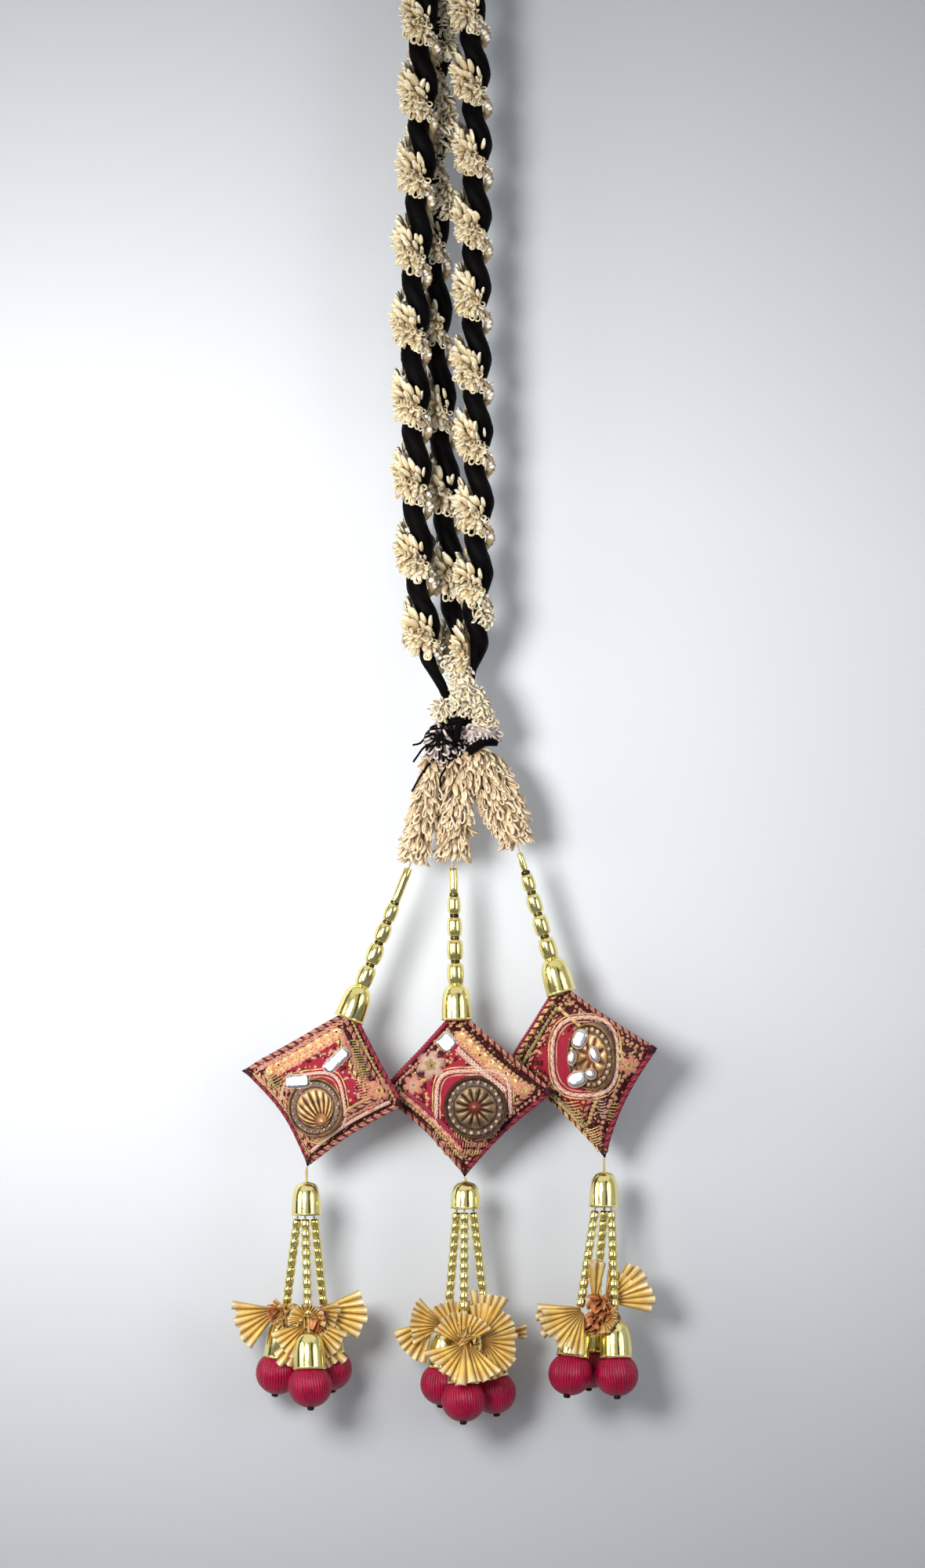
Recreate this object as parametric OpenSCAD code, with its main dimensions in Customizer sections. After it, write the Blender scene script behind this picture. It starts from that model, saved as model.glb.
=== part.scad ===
// A paranda: three black cords wound with lace hang from a loop to a thread knot.
// Below the knot hang three gota tassels, each with a string of beads, a square
// stuffed cushion and a tassel of three beaded drops that end in thread balls.
// Millimetres. +Z is up, the front looks along -Y and +X is to its viewer's right.
// The origin is the inner top of the hanging loop's eye.

/* [Hanging loop] */
// Inner height of the eye that hangs on a pin
eye_h = 12; // [9:0.5:16]
// Inner width of the eye
eye_w = 7; // [6:0.5:8]
// Thickness of the eye's wound thread
eye_t = 2.5; // [2:0.1:3]
// Radius of the binding that gathers the cords
binding_r = 6.4; // [6:0.1:8]

/* [Cords] */
// Diameter of a cord's black core
cord_d = 8.6; // [8:0.1:9]
// Diameter over the lace that is wound on it
lace_d = 13.4; // [12.4:0.1:13.6]
// Share of the winding pitch that the lace covers
lace_share = 0.52; // [0.35:0.01:0.6]

/* [Knot and gota tassels] */
// Half the width of the knot
knot_w = 11; // [10:0.5:12]
// Half the depth of the knot
knot_d = 8; // [7:0.5:9]
// Radius of a gota tassel's neck
neck_r = 2.4; // [2:0.1:2.6]
// Tiers of loops on a gota tassel
gota_tiers = 4; // [3:1:5]
// Loops round each tier
gota_loops = 6; // [5:1:7]

/* [Bead strings] */
// Radius of every thread
thread_r = 0.35; // [0.25:0.01:0.4]
// Radius of the hole through every bead
bore_r = 0.5; // [0.45:0.01:0.6]
// Gap left between two beads
bead_gap = 0.25; // [0.15:0.01:0.3]
// Diameter of a drop's small beads
small_bead = 3; // [2.6:0.1:3]

/* [Cushions] */
// Half the thickness of a cushion
cushion_t = 8.5; // [7:0.1:9]
// How far the two upper sides pull in, as a share
pull_top = 0.03; // [0:0.01:0.06]
// How far the two lower sides pull in, as a share
pull_foot = 0.09; // [0.02:0.01:0.12]
// Height of a medallion above its cushion
medallion_h = 2.4; // [1.8:0.1:3]

/* [Drops] */
// Radius of a thread ball
ball_r = 7; // [6.6:0.1:7]
// Radius of a ball cap's mouth
ball_cap_r = 5.4; // [5.2:0.1:5.5]
// Height of a ball cap
ball_cap_h = 12; // [11:0.1:12]
// Pleats in a whole circle of a gota flower
pleats = 34; // [24:2:36]
// Depth of a pleat at the flower's edge
pleat_h = 1; // [0.6:0.1:1.2]

/* [Hidden] */
$fn = 32;
sides = ["left", "middle", "right"];

gap = 0.1;            // between two pieces that rest on each other
wall = 0.5;           // sheet metal of the caps
cord_top = -28;       // the cords run between these two heights
cord_end = -281;
lace_top = -56;
lace_end = -270;
cord_sides = 10;

// Radius of a core and of its lace by height: both narrow towards the two ends.
core_by_height = [[cord_end, 2.4], [-252, cord_d / 2], [-62, cord_d / 2], [cord_top, 2.5]];
lace_by_height = [[lace_end, 4.2], [-248, lace_d / 2], [-66, lace_d / 2], [lace_top, 5.4]];

// Each cord's route from the binding down to the knot: x, y, z.
cord_routes = [
    [[-2.6, -1.5, -28], [-3.8, -2.2, -36], [-6.4, -3.2, -44], [-8.8, -3.8, -53],
     [-9.8, -4, -64], [-10, -4, -82], [-10.4, -4, -100], [-11, -4, -118],
     [-12.2, -4, -142], [-12.5, -4, -165], [-12.2, -4, -188], [-12, -4, -208],
     [-11.6, -4, -226], [-10.5, -4, -244], [-8.6, -3.8, -258], [-5.8, -3, -270],
     [-1, -1.5, -281]],
    [[0, 3, -28], [-0.6, 4.2, -36], [-2.2, 6.4, -44], [-4.2, 8.6, -53],
     [-5.4, 9.8, -64], [-6.2, 9.8, -82], [-6.7, 9.8, -100], [-6.6, 9.8, -118],
     [-5.8, 9.8, -142], [-5, 9.8, -165], [-3.8, 9.8, -188], [-2.8, 9.8, -208],
     [-1.8, 9.8, -226], [-0.2, 9.6, -244], [1.2, 8.2, -258], [2, 6, -270],
     [1.5, 2.9, -281]],
    [[2.6, -1.5, -28], [3, -2.2, -36], [4.2, -3.2, -44], [5.4, -3.8, -53],
     [6.2, -4, -64], [6.8, -4, -82], [7.2, -4, -100], [7.2, -4, -118],
     [7, -4, -142], [7, -4, -165], [7.5, -4, -188], [7.8, -4, -208],
     [7.8, -4, -226], [7.4, -4, -244], [6.6, -3.8, -258], [5.4, -3, -270],
     [4, -1.5, -281]]];
// Each lace's winding: pitch, height at which it crosses the front.
WIND_PITCH = 0;
WIND_FRONT = 1;
windings = [[24.4, -88.8], [27, -241], [22.8, -84]];

// The knot: middle, neck and the height of its parts.
knot_x = 2.5;
knot_z = -293.6;
knot_neck_x = 1.5;
knot_neck_r = 5.4;
knot_neck_z = -285.5;

// Each gota tassel: neck in the knot, end of its core, radius over the lowest loops.
GOTA_NECK = 0;
GOTA_END = 1;
GOTA_R = 2;
gotas = [
    [[-6.6, -2, -298], [-13, -2.4, -327.5], 5.6],
    [[1.2, 0.6, -298.5], [-0.6, 0.6, -327], 6.6],
    [[8.4, 1, -295.5], [19.4, 1.6, -322.5], 8]];

// Each cushion: its four corners, then its medallion's place across and up from the middle and
// the medallion's radius.
TOP = 0;
RIGHT = 1;
BOTTOM = 2;
LEFT = 3;
MED_X = 4;
MED_Z = 5;
MED_R = 6;
cushions = [
    [[-32.4, -3, -376.5], [-16, -8.6, -407], [-47, -3, -427], [-68, 2.6, -396.5], 0, -6.8, 9.6],
    [[0.6, 0.5, -376.5], [32, -4.4, -403], [3.2, 0.5, -430.4], [-24.5, 5.4, -403.6], 4.9, -4.7, 10.2],
    [[33, 2, -368], [64.5, -12, -389], [48, 2, -424.6], [16.5, 16, -394.5], 8.6, 1.4, 10.6]];
seat_sink = 0.9;      // how deep the medallion presses its flat seat into the cushion
cushion_cells = 14;

// A string of beads from its lowest, upwards: width and height of each.
string_beads = [[5.5, 6.2], [5.2, 5.8], [4.8, 5.4], [4.3, 5]];
spacer = [2.6, 1.2];
tube_w = 2.2;
tube_share = 0.93;    // of what the beads leave free below the gota tassel's loops
loops_hang = 4.6;     // the tassel's loops hang this far past its core
cap_over = 3.8;         // a cushion's cap covers this much of the corner
cushion_cap_h = 11.4;
cushion_cap_r = 5;
cap_top_r = 1.7;

// Each tassel under a cushion: middle of the cap's top, height of the cap.
tassel_caps = [
    [[-47.2, -3, -432], 10.5],
    [[3.4, 0.5, -432], 8.5],
    [[47.6, 2, -429], 11]];
tassel_cap_r = 4.9;

// Each drop: where its string leaves the cap's mouth (x and y from the cap's middle), ball.
DROP_START = 0;
DROP_BALL = 1;
drops = [
    [[[-2.9, 0.6], [-56.5, 5, -493]], [[-0.4, -1.9], [-46, -9.4, -496.5]],
     [[2.4, 2], [-39.8, 6.5, -491.8]]],
    [[[-2.7, 1.6], [-4, 5.8, -496.5]], [[-0.3, -2.2], [2.8, -6.6, -501.2]],
     [[2.6, 0.9], [12.6, 4.4, -499.2]]],
    [[[-2.8, -1], [36.8, -5.6, -492.8]], [[2.4, -1.6], [51.6, -4.2, -493.2]],
     [[0.2, 2.4], [43.4, 8, -491.2]]]];
cap_seat = 5.2;       // a ball cap's mouth is this far above the ball's middle
flower_room = 2.6;    // bare thread between the ball cap and the lowest small bead
stopper_r = 0.9;

// Each gota flower, as a fan of pleats: apex from the top of its ball's cap, direction of its
// middle pleat in degrees from straight down towards the left, lean, turn, spread and radius.
FAN_APEX = 0;
FAN_AIM = 1;
FAN_LEAN = 2;
FAN_TURN = 3;
FAN_SPREAD = 4;
FAN_R = 5;
fans = [
    [[[-1.6, 0, 1.6], 84, 0, 8, 76, 16.8],
     [[0.4, 4.5, 1.9], 2, 11, 0, 102, 15.6],
     [[1.8, -1, 2.2], -98, 0, 0, 90, 14.2]],
    [[[-1.8, -0.6, 1.4], 75, 0, 8, 76, 14],
     [[0.6, -3, 2.2], 0, -19, 0, 130, 14.4],
     [[-1.6, -7.4, 0], -100, 0, 14, 190, 14]],
    [[[1.6, -4.1, 1.4], 46, -19, 0, 92, 15.6],
     [[-2.8, 4.2, 6], -108, 0, -6, 72, 14],
     [[0.2, -7.4, 1.6], 178, 0, 62, 44, 17]]];
fan_eye = 1;          // radius of the hole at a fan's apex
fan_sheet = 0.6;

// The point a share t of the way from a to b.
function between(a, b, t) = a + (b - a) * t;

// A cushion's middle, and its own directions: out of its front, up and across.
function unit(v) = v / norm(v);
function middle_of(row) = (row[TOP] + row[RIGHT] + row[BOTTOM] + row[LEFT]) / 4;
function out_of(row) = unit(cross(row[RIGHT] - row[LEFT], row[TOP] - row[BOTTOM]));
function up_of(row) = unit(row[TOP] - row[BOTTOM]);
function across_of(row) = cross(up_of(row), out_of(row));

// Where the route is at a height, and how thick the core and lace are there.
function route_at(route, z) = [
    lookup(z, [for (p = route) [p[2], p[0]]]), lookup(z, [for (p = route) [p[2], p[1]]]), z];
function core_at(z) = lookup(z, core_by_height);
function lace_at(z) = lookup(z, lace_by_height);

// A drop: its start below the tassel's cap, its ball and the directions between them.
function drop_start(s, i) = let(cap = tassel_caps[s], d = drops[s][i][DROP_START])
    [cap[0][0] + d[0], cap[0][1] + d[1], cap[0][2] - cap[1] - 0.6];
function drop_ball(s, i) = drops[s][i][DROP_BALL];
function drop_length(s, i) = norm(drop_ball(s, i) - drop_start(s, i));
function cap_top(s, i) = between(drop_ball(s, i), drop_start(s, i),
    (cap_seat + ball_cap_h) / drop_length(s, i));

// Stands the children, drawn up the Z axis, at p and points them at q.
module aimed(p, q) {
    d = q - p;
    translate(p) rotate([0, acos(d[2] / norm(d)), atan2(d[1], d[0])]) children();
}

// A closed solid through rings of points, each with the same number of points.
module skin(rings) {
    n = len(rings[0]);
    last = len(rings) - 1;
    polyhedron(
        points = [for (ring = rings) each ring],
        faces = concat(
            [[for (k = [n - 1:-1:0]) k]],
            [for (i = [0:last - 1]) for (k = [0:n - 1]) let(m = (k + 1) % n) each [
                [i * n + k, (i + 1) * n + m, (i + 1) * n + k],
                [i * n + k, i * n + m, (i + 1) * n + m]]],
            [[for (k = [0:n - 1]) last * n + k]]));
}

// A bead: an arc of short steps turned round its hole, with flat ends.
module bead(w, h) {
    steps = 10;
    end_r = min(0.3 * w, 0.9);
    rise = w / 2 - end_r;
    arc_r = (h * h / 4 + rise * rise) / (2 * rise);
    arc = [for (i = [0:steps]) let(z = h * (i / steps - 0.5))
        [w / 2 - arc_r + sqrt(arc_r * arc_r - z * z), z]];
    rotate_extrude() polygon(concat([[bore_r, -h / 2]], arc, [[bore_r, h / 2]]));
}

// A hollow bell of sheet metal, mouth down at height 0, with a hole in its top.
module bell(r, h, top_r, hole_r = bore_r) {
    steps = 9;
    function bell_r(t) = top_r + (r - top_r) * pow(1 - pow(t, 2.4), 0.6) * (1 - 0.06 * t);
    outer = [for (i = [0:steps]) let(t = i / steps) [bell_r(t), h * t]];
    inner = [for (i = [steps:-1:0]) let(t = i / steps) [bell_r(t) - wall, (h - wall) * t]];
    rotate_extrude() polygon(concat(outer, [[hole_r, h], [hole_r, h - wall]], inner));
}

// Two legs and an arch of wound thread over a plain binding, in one piece.
module hanging_loop() color("#1c181c") {
    r = eye_t / 2;
    arch_r = eye_w / 2 + r;
    arch_z = r - arch_r;
    binding_top = -eye_h;
    round_by = 1.6;
    translate([0, 0, arch_z]) rotate([90, 0, 0])
        rotate_extrude(angle = 180) translate([arch_r, 0]) circle(r);
    for (side = [-1, 1]) translate([side * arch_r, 0, binding_top - 1])
        cylinder(r = r, h = arch_z - binding_top + 1);
    rotate_extrude() polygon([
        [0, cord_top + gap], [binding_r - round_by / 2, cord_top + gap],
        [binding_r, cord_top + gap + round_by], [binding_r, binding_top - round_by],
        [binding_r - round_by, binding_top], [0, binding_top]]);
}

// The black core of a cord, round in plan at every height.
module cord(i) color("#17151a")
    skin([for (p = cord_routes[i]) [for (k = [0:cord_sides - 1]) let(a = 360 * k / cord_sides)
        p + core_at(p[2]) * [cos(a), sin(a), 0]]]);

// Lace wound down a cord: a band that hugs the core above and flares out below.
module lace(i) {
    route = cord_routes[i];
    pitch = windings[i][WIND_PITCH];
    band = pitch * lace_share;
    clear = 0.9;
    top = lace_top - band / 2;
    end = lace_end + band / 2;
    steps = ceil((top - end) / pitch * 12);
    function out(z, r, a) = route_at(route, z) + r * [cos(a), sin(a), 0];
    color("#cbb88e") skin([for (s = [0:steps]) let(
        z = between(top, end, s / steps),
        a = 270 + 360 * (windings[i][WIND_FRONT] - z) / pitch,
        up = z + band / 2,
        low = z - band / 2) [
            out(up, core_at(up) + clear, a),
            out(low, core_at(low) + clear, a),
            out(low + 0.9, lace_at(low), a),
            out(up, core_at(up) + clear + 0.8, a)]]);
}

// The gathered gota inside the knot, with a neck for the thread and a pocket for each tassel.
module knot_core() color("#d8c9ab") difference() {
    union() {
        translate([knot_neck_x, 0, knot_neck_z - 1])
            cylinder(r = knot_neck_r, h = cord_end - gap - knot_neck_z + 1, $fn = 24);
        hull() {
            translate([knot_neck_x, 0, knot_neck_z - 0.5]) cylinder(r = knot_neck_r, h = 0.5, $fn = 24);
            for (x = [-1, 1]) translate([knot_x + x * (knot_w - knot_d), 0, knot_z])
                sphere(knot_d, $fn = 20);
            translate([knot_x, 0, knot_z - 8.8]) cylinder(r = 5, h = 1, $fn = 20);
        }
    }
    for (g = gotas) aimed(g[GOTA_NECK], g[GOTA_END]) cylinder(r = neck_r + 0.3, h = 12, $fn = 16);
}

// Rounds of black thread that bind the cords' ends to the knot.
module knot_thread() color("#141216") {
    rounds = 3;
    coil_r = 0.75;
    for (i = [0:rounds - 1]) translate([knot_neck_x, 0, knot_neck_z + 0.9 + i * 1.2])
        rotate_extrude() translate([knot_neck_r + gap + coil_r, 0]) circle(coil_r);
}

// A gota tassel: a neck, a core and tiers of leaf-like loops that widen downwards.
module gota_tassel(i) color("#ddc59a") {
    g = gotas[i];
    length = norm(g[GOTA_END] - g[GOTA_NECK]);
    aimed(g[GOTA_NECK], g[GOTA_END]) {
        translate([0, 0, gap]) cylinder(r1 = neck_r, r2 = neck_r + 0.6, h = length - gap, $fn = 8);
        for (tier = [1:gota_tiers]) for (k = [0:gota_loops - 1]) {
            t = tier / gota_tiers;
            spread = between(neck_r + 1.2, g[GOTA_R] - 1.4, t);
            rotate(360 * (k + tier % 2 / 2) / gota_loops) hull() {
                translate([neck_r - 0.6, 0, length * between(0.12, 0.55, t)]) sphere(0.6, $fn = 5);
                translate([spread, 0, length * between(0.4, 1, t) + loops_hang * t - 3])
                    scale([1, 1.15, 1.6]) sphere(1.5, $fn = 6);
            }
        }
    }
}

// The thread from a gota tassel's core to the cushion's top corner.
module bead_thread(i) color("#d9c48c") {
    a = gotas[i][GOTA_END];
    b = cushions[i][TOP];
    way = (b - a) / norm(b - a);
    aimed(a + gap * way, b) cylinder(r = thread_r, h = norm(b - a) - 3 * gap);
}

// Height of each bead's middle above the corner, from the lowest bead up.
function stack_at(k) = k == 0
    ? cushion_cap_h - cap_over + bead_gap + string_beads[0][1] / 2
    : stack_at(k - 1) + (string_beads[k - 1][1] + string_beads[k][1]) / 2 + spacer[1] + 2 * bead_gap;

// Four growing beads with spacers, under a tube bead.
module bead_string(i) color("#e3cf7f") {
    a = cushions[i][TOP];
    b = gotas[i][GOTA_END];
    last = len(string_beads) - 1;
    tube_from = stack_at(last) + string_beads[last][1] / 2 + 2 * bead_gap + spacer[1];
    tube_h = (norm(b - a) - tube_from - loops_hang) * tube_share;
    aimed(a, b) {
        for (k = [0:last]) {
            translate([0, 0, stack_at(k)]) bead(string_beads[k][0], string_beads[k][1]);
            translate([0, 0, stack_at(k) + string_beads[k][1] / 2 + bead_gap + spacer[1] / 2])
                bead(spacer[0], spacer[1]);
        }
        translate([0, 0, tube_from]) rotate_extrude()
            translate([bore_r, 0]) square([tube_w / 2 - bore_r, tube_h]);
    }
}

// The bell that covers a cushion's top corner.
module cushion_cap(i) color("#dcc873")
    aimed(cushions[i][TOP], gotas[i][GOTA_END])
        translate([0, 0, -cap_over]) bell(cushion_cap_r, cushion_cap_h, cap_top_r);

// Half a cushion's thickness at u and v, which run from -1 to 1 between its sides.
function fullness(u, v) = cushion_t * sqrt((1 - pow(abs(u), 3)) * (1 - pow(abs(v), 3)));
// The same at x across and z up from its middle.
function puff(row, x, z) = let(
    w = norm(row[RIGHT] - row[LEFT]) / 2,
    h = norm(row[TOP] - row[BOTTOM]) / 2)
    fullness(min(1, x / w - z / h), min(1, x / w + z / h));
// How fast the front falls away at the medallion's middle, across and up, and how high it is.
function seat_slope(row) = let(x = row[MED_X], z = row[MED_Z])
    [puff(row, x + 0.5, z) - puff(row, x - 0.5, z), puff(row, x, z + 0.5) - puff(row, x, z - 0.5)];
function seat_height(row) = puff(row, row[MED_X], row[MED_Z]) - seat_sink;

// A stuffed square that hangs by a corner, with a flat seat under its medallion.
module cushion(i) {
    row = cushions[i];
    n = cushion_cells;
    middle = middle_of(row);
    out = out_of(row);
    slope = seat_slope(row);
    function side(a) = 2 * a / n - 1;
    function place(a, b) = let(
        u = side(a),
        v = side(b),
        us = u * (1 - (u > 0 ? pull_foot : pull_top) * (1 - v * v)),
        vs = v * (1 - (v < 0 ? pull_foot : pull_top) * (1 - u * u)))
        between(between(row[LEFT], row[BOTTOM], (1 + us) / 2),
            between(row[TOP], row[RIGHT], (1 + us) / 2), (1 + vs) / 2);
    function seat(p) = let(d = p - middle) seat_height(row) - d * out
        + slope[0] * (d * across_of(row) - row[MED_X]) + slope[1] * (d * up_of(row) - row[MED_Z]);
    function rim(a, b) = a == 0 || a == n || b == 0 || b == n;
    function front(a, b) = a * (n + 1) + b;
    function back(a, b) = rim(a, b) ? front(a, b) : (n + 1) * (n + 1) + (a - 1) * (n - 1) + b - 1;
    points = concat(
        [for (a = [0:n]) for (b = [0:n]) let(p = place(a, b))
            p + max(0, min(fullness(side(a), side(b)), seat(p))) * out],
        [for (a = [1:n - 1]) for (b = [1:n - 1]) place(a, b) - fullness(side(a), side(b)) * out]);
    // A cell's two triangles, parted by the diagonal that points at the nearest corner.
    function cell(p, q, r, s, along) = along ? [[p, q, r], [p, r, s]] : [[p, q, s], [q, r, s]];
    faces = [for (a = [0:n - 1]) for (b = [0:n - 1]) let(along = (a < n / 2) == (b < n / 2)) each concat(
        cell(front(a, b), front(a, b + 1), front(a + 1, b + 1), front(a + 1, b), along),
        cell(back(a, b), back(a + 1, b), back(a + 1, b + 1), back(a, b + 1), along))];
    color("#7c1526") polyhedron(points = points, faces = faces);
}

// A round metal dish with a rim, a ring groove and a boss, sewn to its cushion.
module medallion(i) color("#b79a56") {
    row = cushions[i];
    slope = seat_slope(row);
    across = across_of(row);
    up = up_of(row);
    out = unit(out_of(row) - slope[0] * across - slope[1] * up);
    foot = middle_of(row) + row[MED_X] * across + row[MED_Z] * up + seat_height(row) * out_of(row);
    r = row[MED_R];
    h = medallion_h;
    aimed(foot + gap * out, foot + out) rotate_extrude() polygon([
        [0, 0], [r - 0.4, 0], [r, 0.4], [r, 0.55 * h], [r - 0.5, 0.7 * h], [r - 1.1, 0.6 * h],
        [r - 1.5, 0.35 * h], [0.52 * r, 0.35 * h], [0.46 * r, 0.6 * h], [0.36 * r, 0.62 * h],
        [0.3 * r, 0.8 * h], [0.16 * r, h], [0, h]]);
}

// The bell at the head of a tassel.
module tassel_cap(i) color("#d9c268")
    translate(tassel_caps[i][0] - [0, 0, tassel_caps[i][1]])
        bell(tassel_cap_r, tassel_caps[i][1], cap_top_r, 2 * bore_r);

// One thread from the cushion's low corner into the cap, where it parts into three drops.
module tassel_threads(i) color("#dccb9c") {
    top = cushions[i][BOTTOM] - [0, 0, 2 * gap];
    parting = tassel_caps[i][0] - [0, 0, 3];
    aimed(parting, top) cylinder(r = thread_r, h = norm(top - parting));
    translate(parting) sphere(1);
    for (d = [0:2]) {
        start = drop_start(i, d);
        ball = drop_ball(i, d);
        end = between(ball, start, -(ball_r + gap + stopper_r) / drop_length(i, d));
        aimed(parting, start) cylinder(r = thread_r, h = norm(start - parting));
        translate(start) sphere(thread_r * 1.1);
        aimed(start, end) cylinder(r = thread_r, h = norm(end - start));
        translate(end) sphere(stopper_r);
    }
}

// The small beads of a tassel's three drops.
module tassel_beads(i) color("#e6d283")
    for (d = [0:2]) {
        start = drop_start(i, d);
        room = drop_length(i, d) - cap_seat - ball_cap_h - flower_room;
        pitch = small_bead + bead_gap / 2;
        count = floor(room / pitch);
        aimed(start, drop_ball(i, d))
            for (k = [0:count - 1]) translate([0, 0, 0.5 + (k + 0.5) * pitch]) bead(small_bead, small_bead);
    }

// The three bells that sit on a tassel's balls.
module ball_caps(i) color("#dcc873")
    for (d = [0:2]) aimed(drop_ball(i, d), drop_start(i, d))
        translate([0, 0, cap_seat]) bell(ball_cap_r, ball_cap_h, cap_top_r);

// A ball wound of thread, drilled for its own.
module ball(i, d) color("#a5123c")
    aimed(drop_ball(i, d), drop_start(i, d)) difference() {
        sphere(ball_r, $fn = 48);
        translate([0, 0, -ball_r - 1]) cylinder(r = bore_r, h = 2 * ball_r + 2);
    }

// A gota flower: a fan of pleated ribbon that opens from an eye beside the thread.
module gota_flower(i, d) {
    fan = fans[i][d];
    count = round(pleats * fan[FAN_SPREAD] / 360) * 2;
    function leaf(r, k, face) = let(
        a = fan[FAN_SPREAD] * (k / count - 0.5),
        fold = (k % 2 - 0.5) * pleat_h * r / fan[FAN_R],
        cup = -1.2 * pow(r / fan[FAN_R], 2))
        [r * sin(a), cup + fold + face * fan_sheet / 2, -r * cos(a)];
    radii = [fan_eye, fan[FAN_R] * 0.55, fan[FAN_R]];
    color("#dda33a") translate(cap_top(i, d) + fan[FAN_APEX])
        rotate([0, 0, fan[FAN_TURN]]) rotate([0, fan[FAN_AIM], 0]) rotate([fan[FAN_LEAN], 0, 0])
            skin([for (k = [0:count]) concat(
                [for (r = radii) leaf(r, k, 1)],
                [for (j = [2:-1:0]) leaf(radii[j], k, -1)])]);
}

hanging_loop();
knot_core();
knot_thread();
for (i = [0:2]) {
    side = sides[i];
    cord(i);
    lace(i);
    gota_tassel(i);
    bead_thread(i);
    bead_string(i);
    cushion_cap(i);
    cushion(i);
    medallion(i);
    tassel_cap(i);
    tassel_threads(i);
    tassel_beads(i);
    ball_caps(i);
    for (d = [0:2]) {
        gota_flower(i, d);
        ball(i, d);
    }
}
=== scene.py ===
# The dressed paranda: wound cords, a knot, gota tassels, bead strings, cushions and beaded drops.
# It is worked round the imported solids, in metres and in their frame.
import math

import bpy
import numpy as np
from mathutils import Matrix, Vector


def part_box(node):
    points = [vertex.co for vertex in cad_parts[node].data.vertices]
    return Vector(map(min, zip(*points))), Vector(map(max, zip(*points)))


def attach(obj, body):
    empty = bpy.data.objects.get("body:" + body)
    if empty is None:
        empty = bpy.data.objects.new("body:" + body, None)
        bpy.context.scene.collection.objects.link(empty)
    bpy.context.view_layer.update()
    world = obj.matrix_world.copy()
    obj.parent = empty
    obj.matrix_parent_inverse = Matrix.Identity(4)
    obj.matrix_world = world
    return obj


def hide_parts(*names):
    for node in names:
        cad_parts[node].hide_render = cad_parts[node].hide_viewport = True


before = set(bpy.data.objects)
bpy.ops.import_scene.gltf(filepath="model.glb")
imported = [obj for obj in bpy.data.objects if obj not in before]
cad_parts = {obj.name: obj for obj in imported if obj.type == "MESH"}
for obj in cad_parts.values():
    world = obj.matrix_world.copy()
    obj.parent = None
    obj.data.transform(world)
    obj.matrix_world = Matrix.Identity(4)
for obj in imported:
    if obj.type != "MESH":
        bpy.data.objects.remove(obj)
scene = bpy.context.scene
sideNames = ("left", "middle", "right")
mm = 0.001
turn = 2 * math.pi


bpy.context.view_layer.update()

# The camera stands in front of the picture's middle, far off, with a long lens.
picture = {"middle": (2.5, 0.0, -305.0), "height": 500.0, "distance": 4000.0, "film": 36.0}


def makeCamera():
    # Focal length = film height * distance / height of the picture.
    data = bpy.data.cameras.new("camera")
    data.sensor_fit = "VERTICAL"
    data.sensor_height = picture["film"]
    data.lens = picture["film"] * picture["distance"] / picture["height"]
    camera = bpy.data.objects.new("camera", data)
    x, y, z = picture["middle"]
    camera.location = (x * mm, (y - picture["distance"]) * mm, z * mm)
    camera.rotation_euler = (math.pi / 2, 0, 0)
    scene.collection.objects.link(camera)
    scene.camera = camera


makeCamera()
print("camera ready")


# Sums on arrays

def unit(vectors):
    # Each vector over its own length.
    return vectors / np.maximum(np.linalg.norm(vectors, axis=-1, keepdims=True), 1e-12)


def smoothStep(low, high, value):
    # 3t^2 - 2t^3 of the share t of the way from low to high.
    t = np.clip((value - low) / (high - low), 0, 1)
    return t * t * (3 - 2 * t)


def rolled(axes, angle):
    # x cos a + y sin a and y cos a - x sin a, with z as it was.
    c, s = np.cos(angle)[..., None], np.sin(angle)[..., None]
    x, y = axes[..., 0], axes[..., 1]
    return np.stack([x * c + y * s, y * c - x * s, axes[..., 2]], axis=-1)


def aroundAngles(count):
    # Angles at even steps of a whole turn.
    return np.linspace(0, turn, count, endpoint=False)


def polar(r, angle, z):
    # (r cos a, r sin a, z) of numbers or arrays, brought to one shape.
    return np.stack(np.broadcast_arrays(r * np.cos(angle), r * np.sin(angle), z), -1)


def spreadPoints(count):
    # Even directions on a sphere: z in equal steps, the angle by golden-section turns.
    k = np.arange(count) + 0.5
    z = 1 - 2 * k / count
    return polar(np.sqrt(1 - z * z), k * math.pi * (3 - math.sqrt(5)), z)


def smoothPath(points, count):
    # A Catmull-Rom curve through the points, at count even steps of its parameter.
    p = np.asarray(points, float)
    p = np.concatenate([[2 * p[0] - p[1]], p, [2 * p[-1] - p[-2]]])
    s = np.linspace(0, len(p) - 3 - 1e-9, count)
    k = s.astype(int)
    t = (s - k)[:, None]
    a, b, c, d = p[k], p[k + 1], p[k + 2], p[k + 3]
    return 0.5 * (2 * b + (c - a) * t + (2 * a - 5 * b + 4 * c - d) * t ** 2
                  + (3 * b - a - 3 * c + d) * t ** 3)


def basis(direction, hint=(0.13, 1.0, 0.07)):
    # Columns x, y and z, where z is the direction and x is square to it and to the hint.
    z = unit(np.asarray(direction, float))
    x = unit(np.cross(np.broadcast_to(hint, z.shape), z))
    return np.stack([x, np.cross(z, x), z], axis=-1)


# Parts: a part is its points, its four-cornered cells and each corner's place on the part's own map

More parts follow.
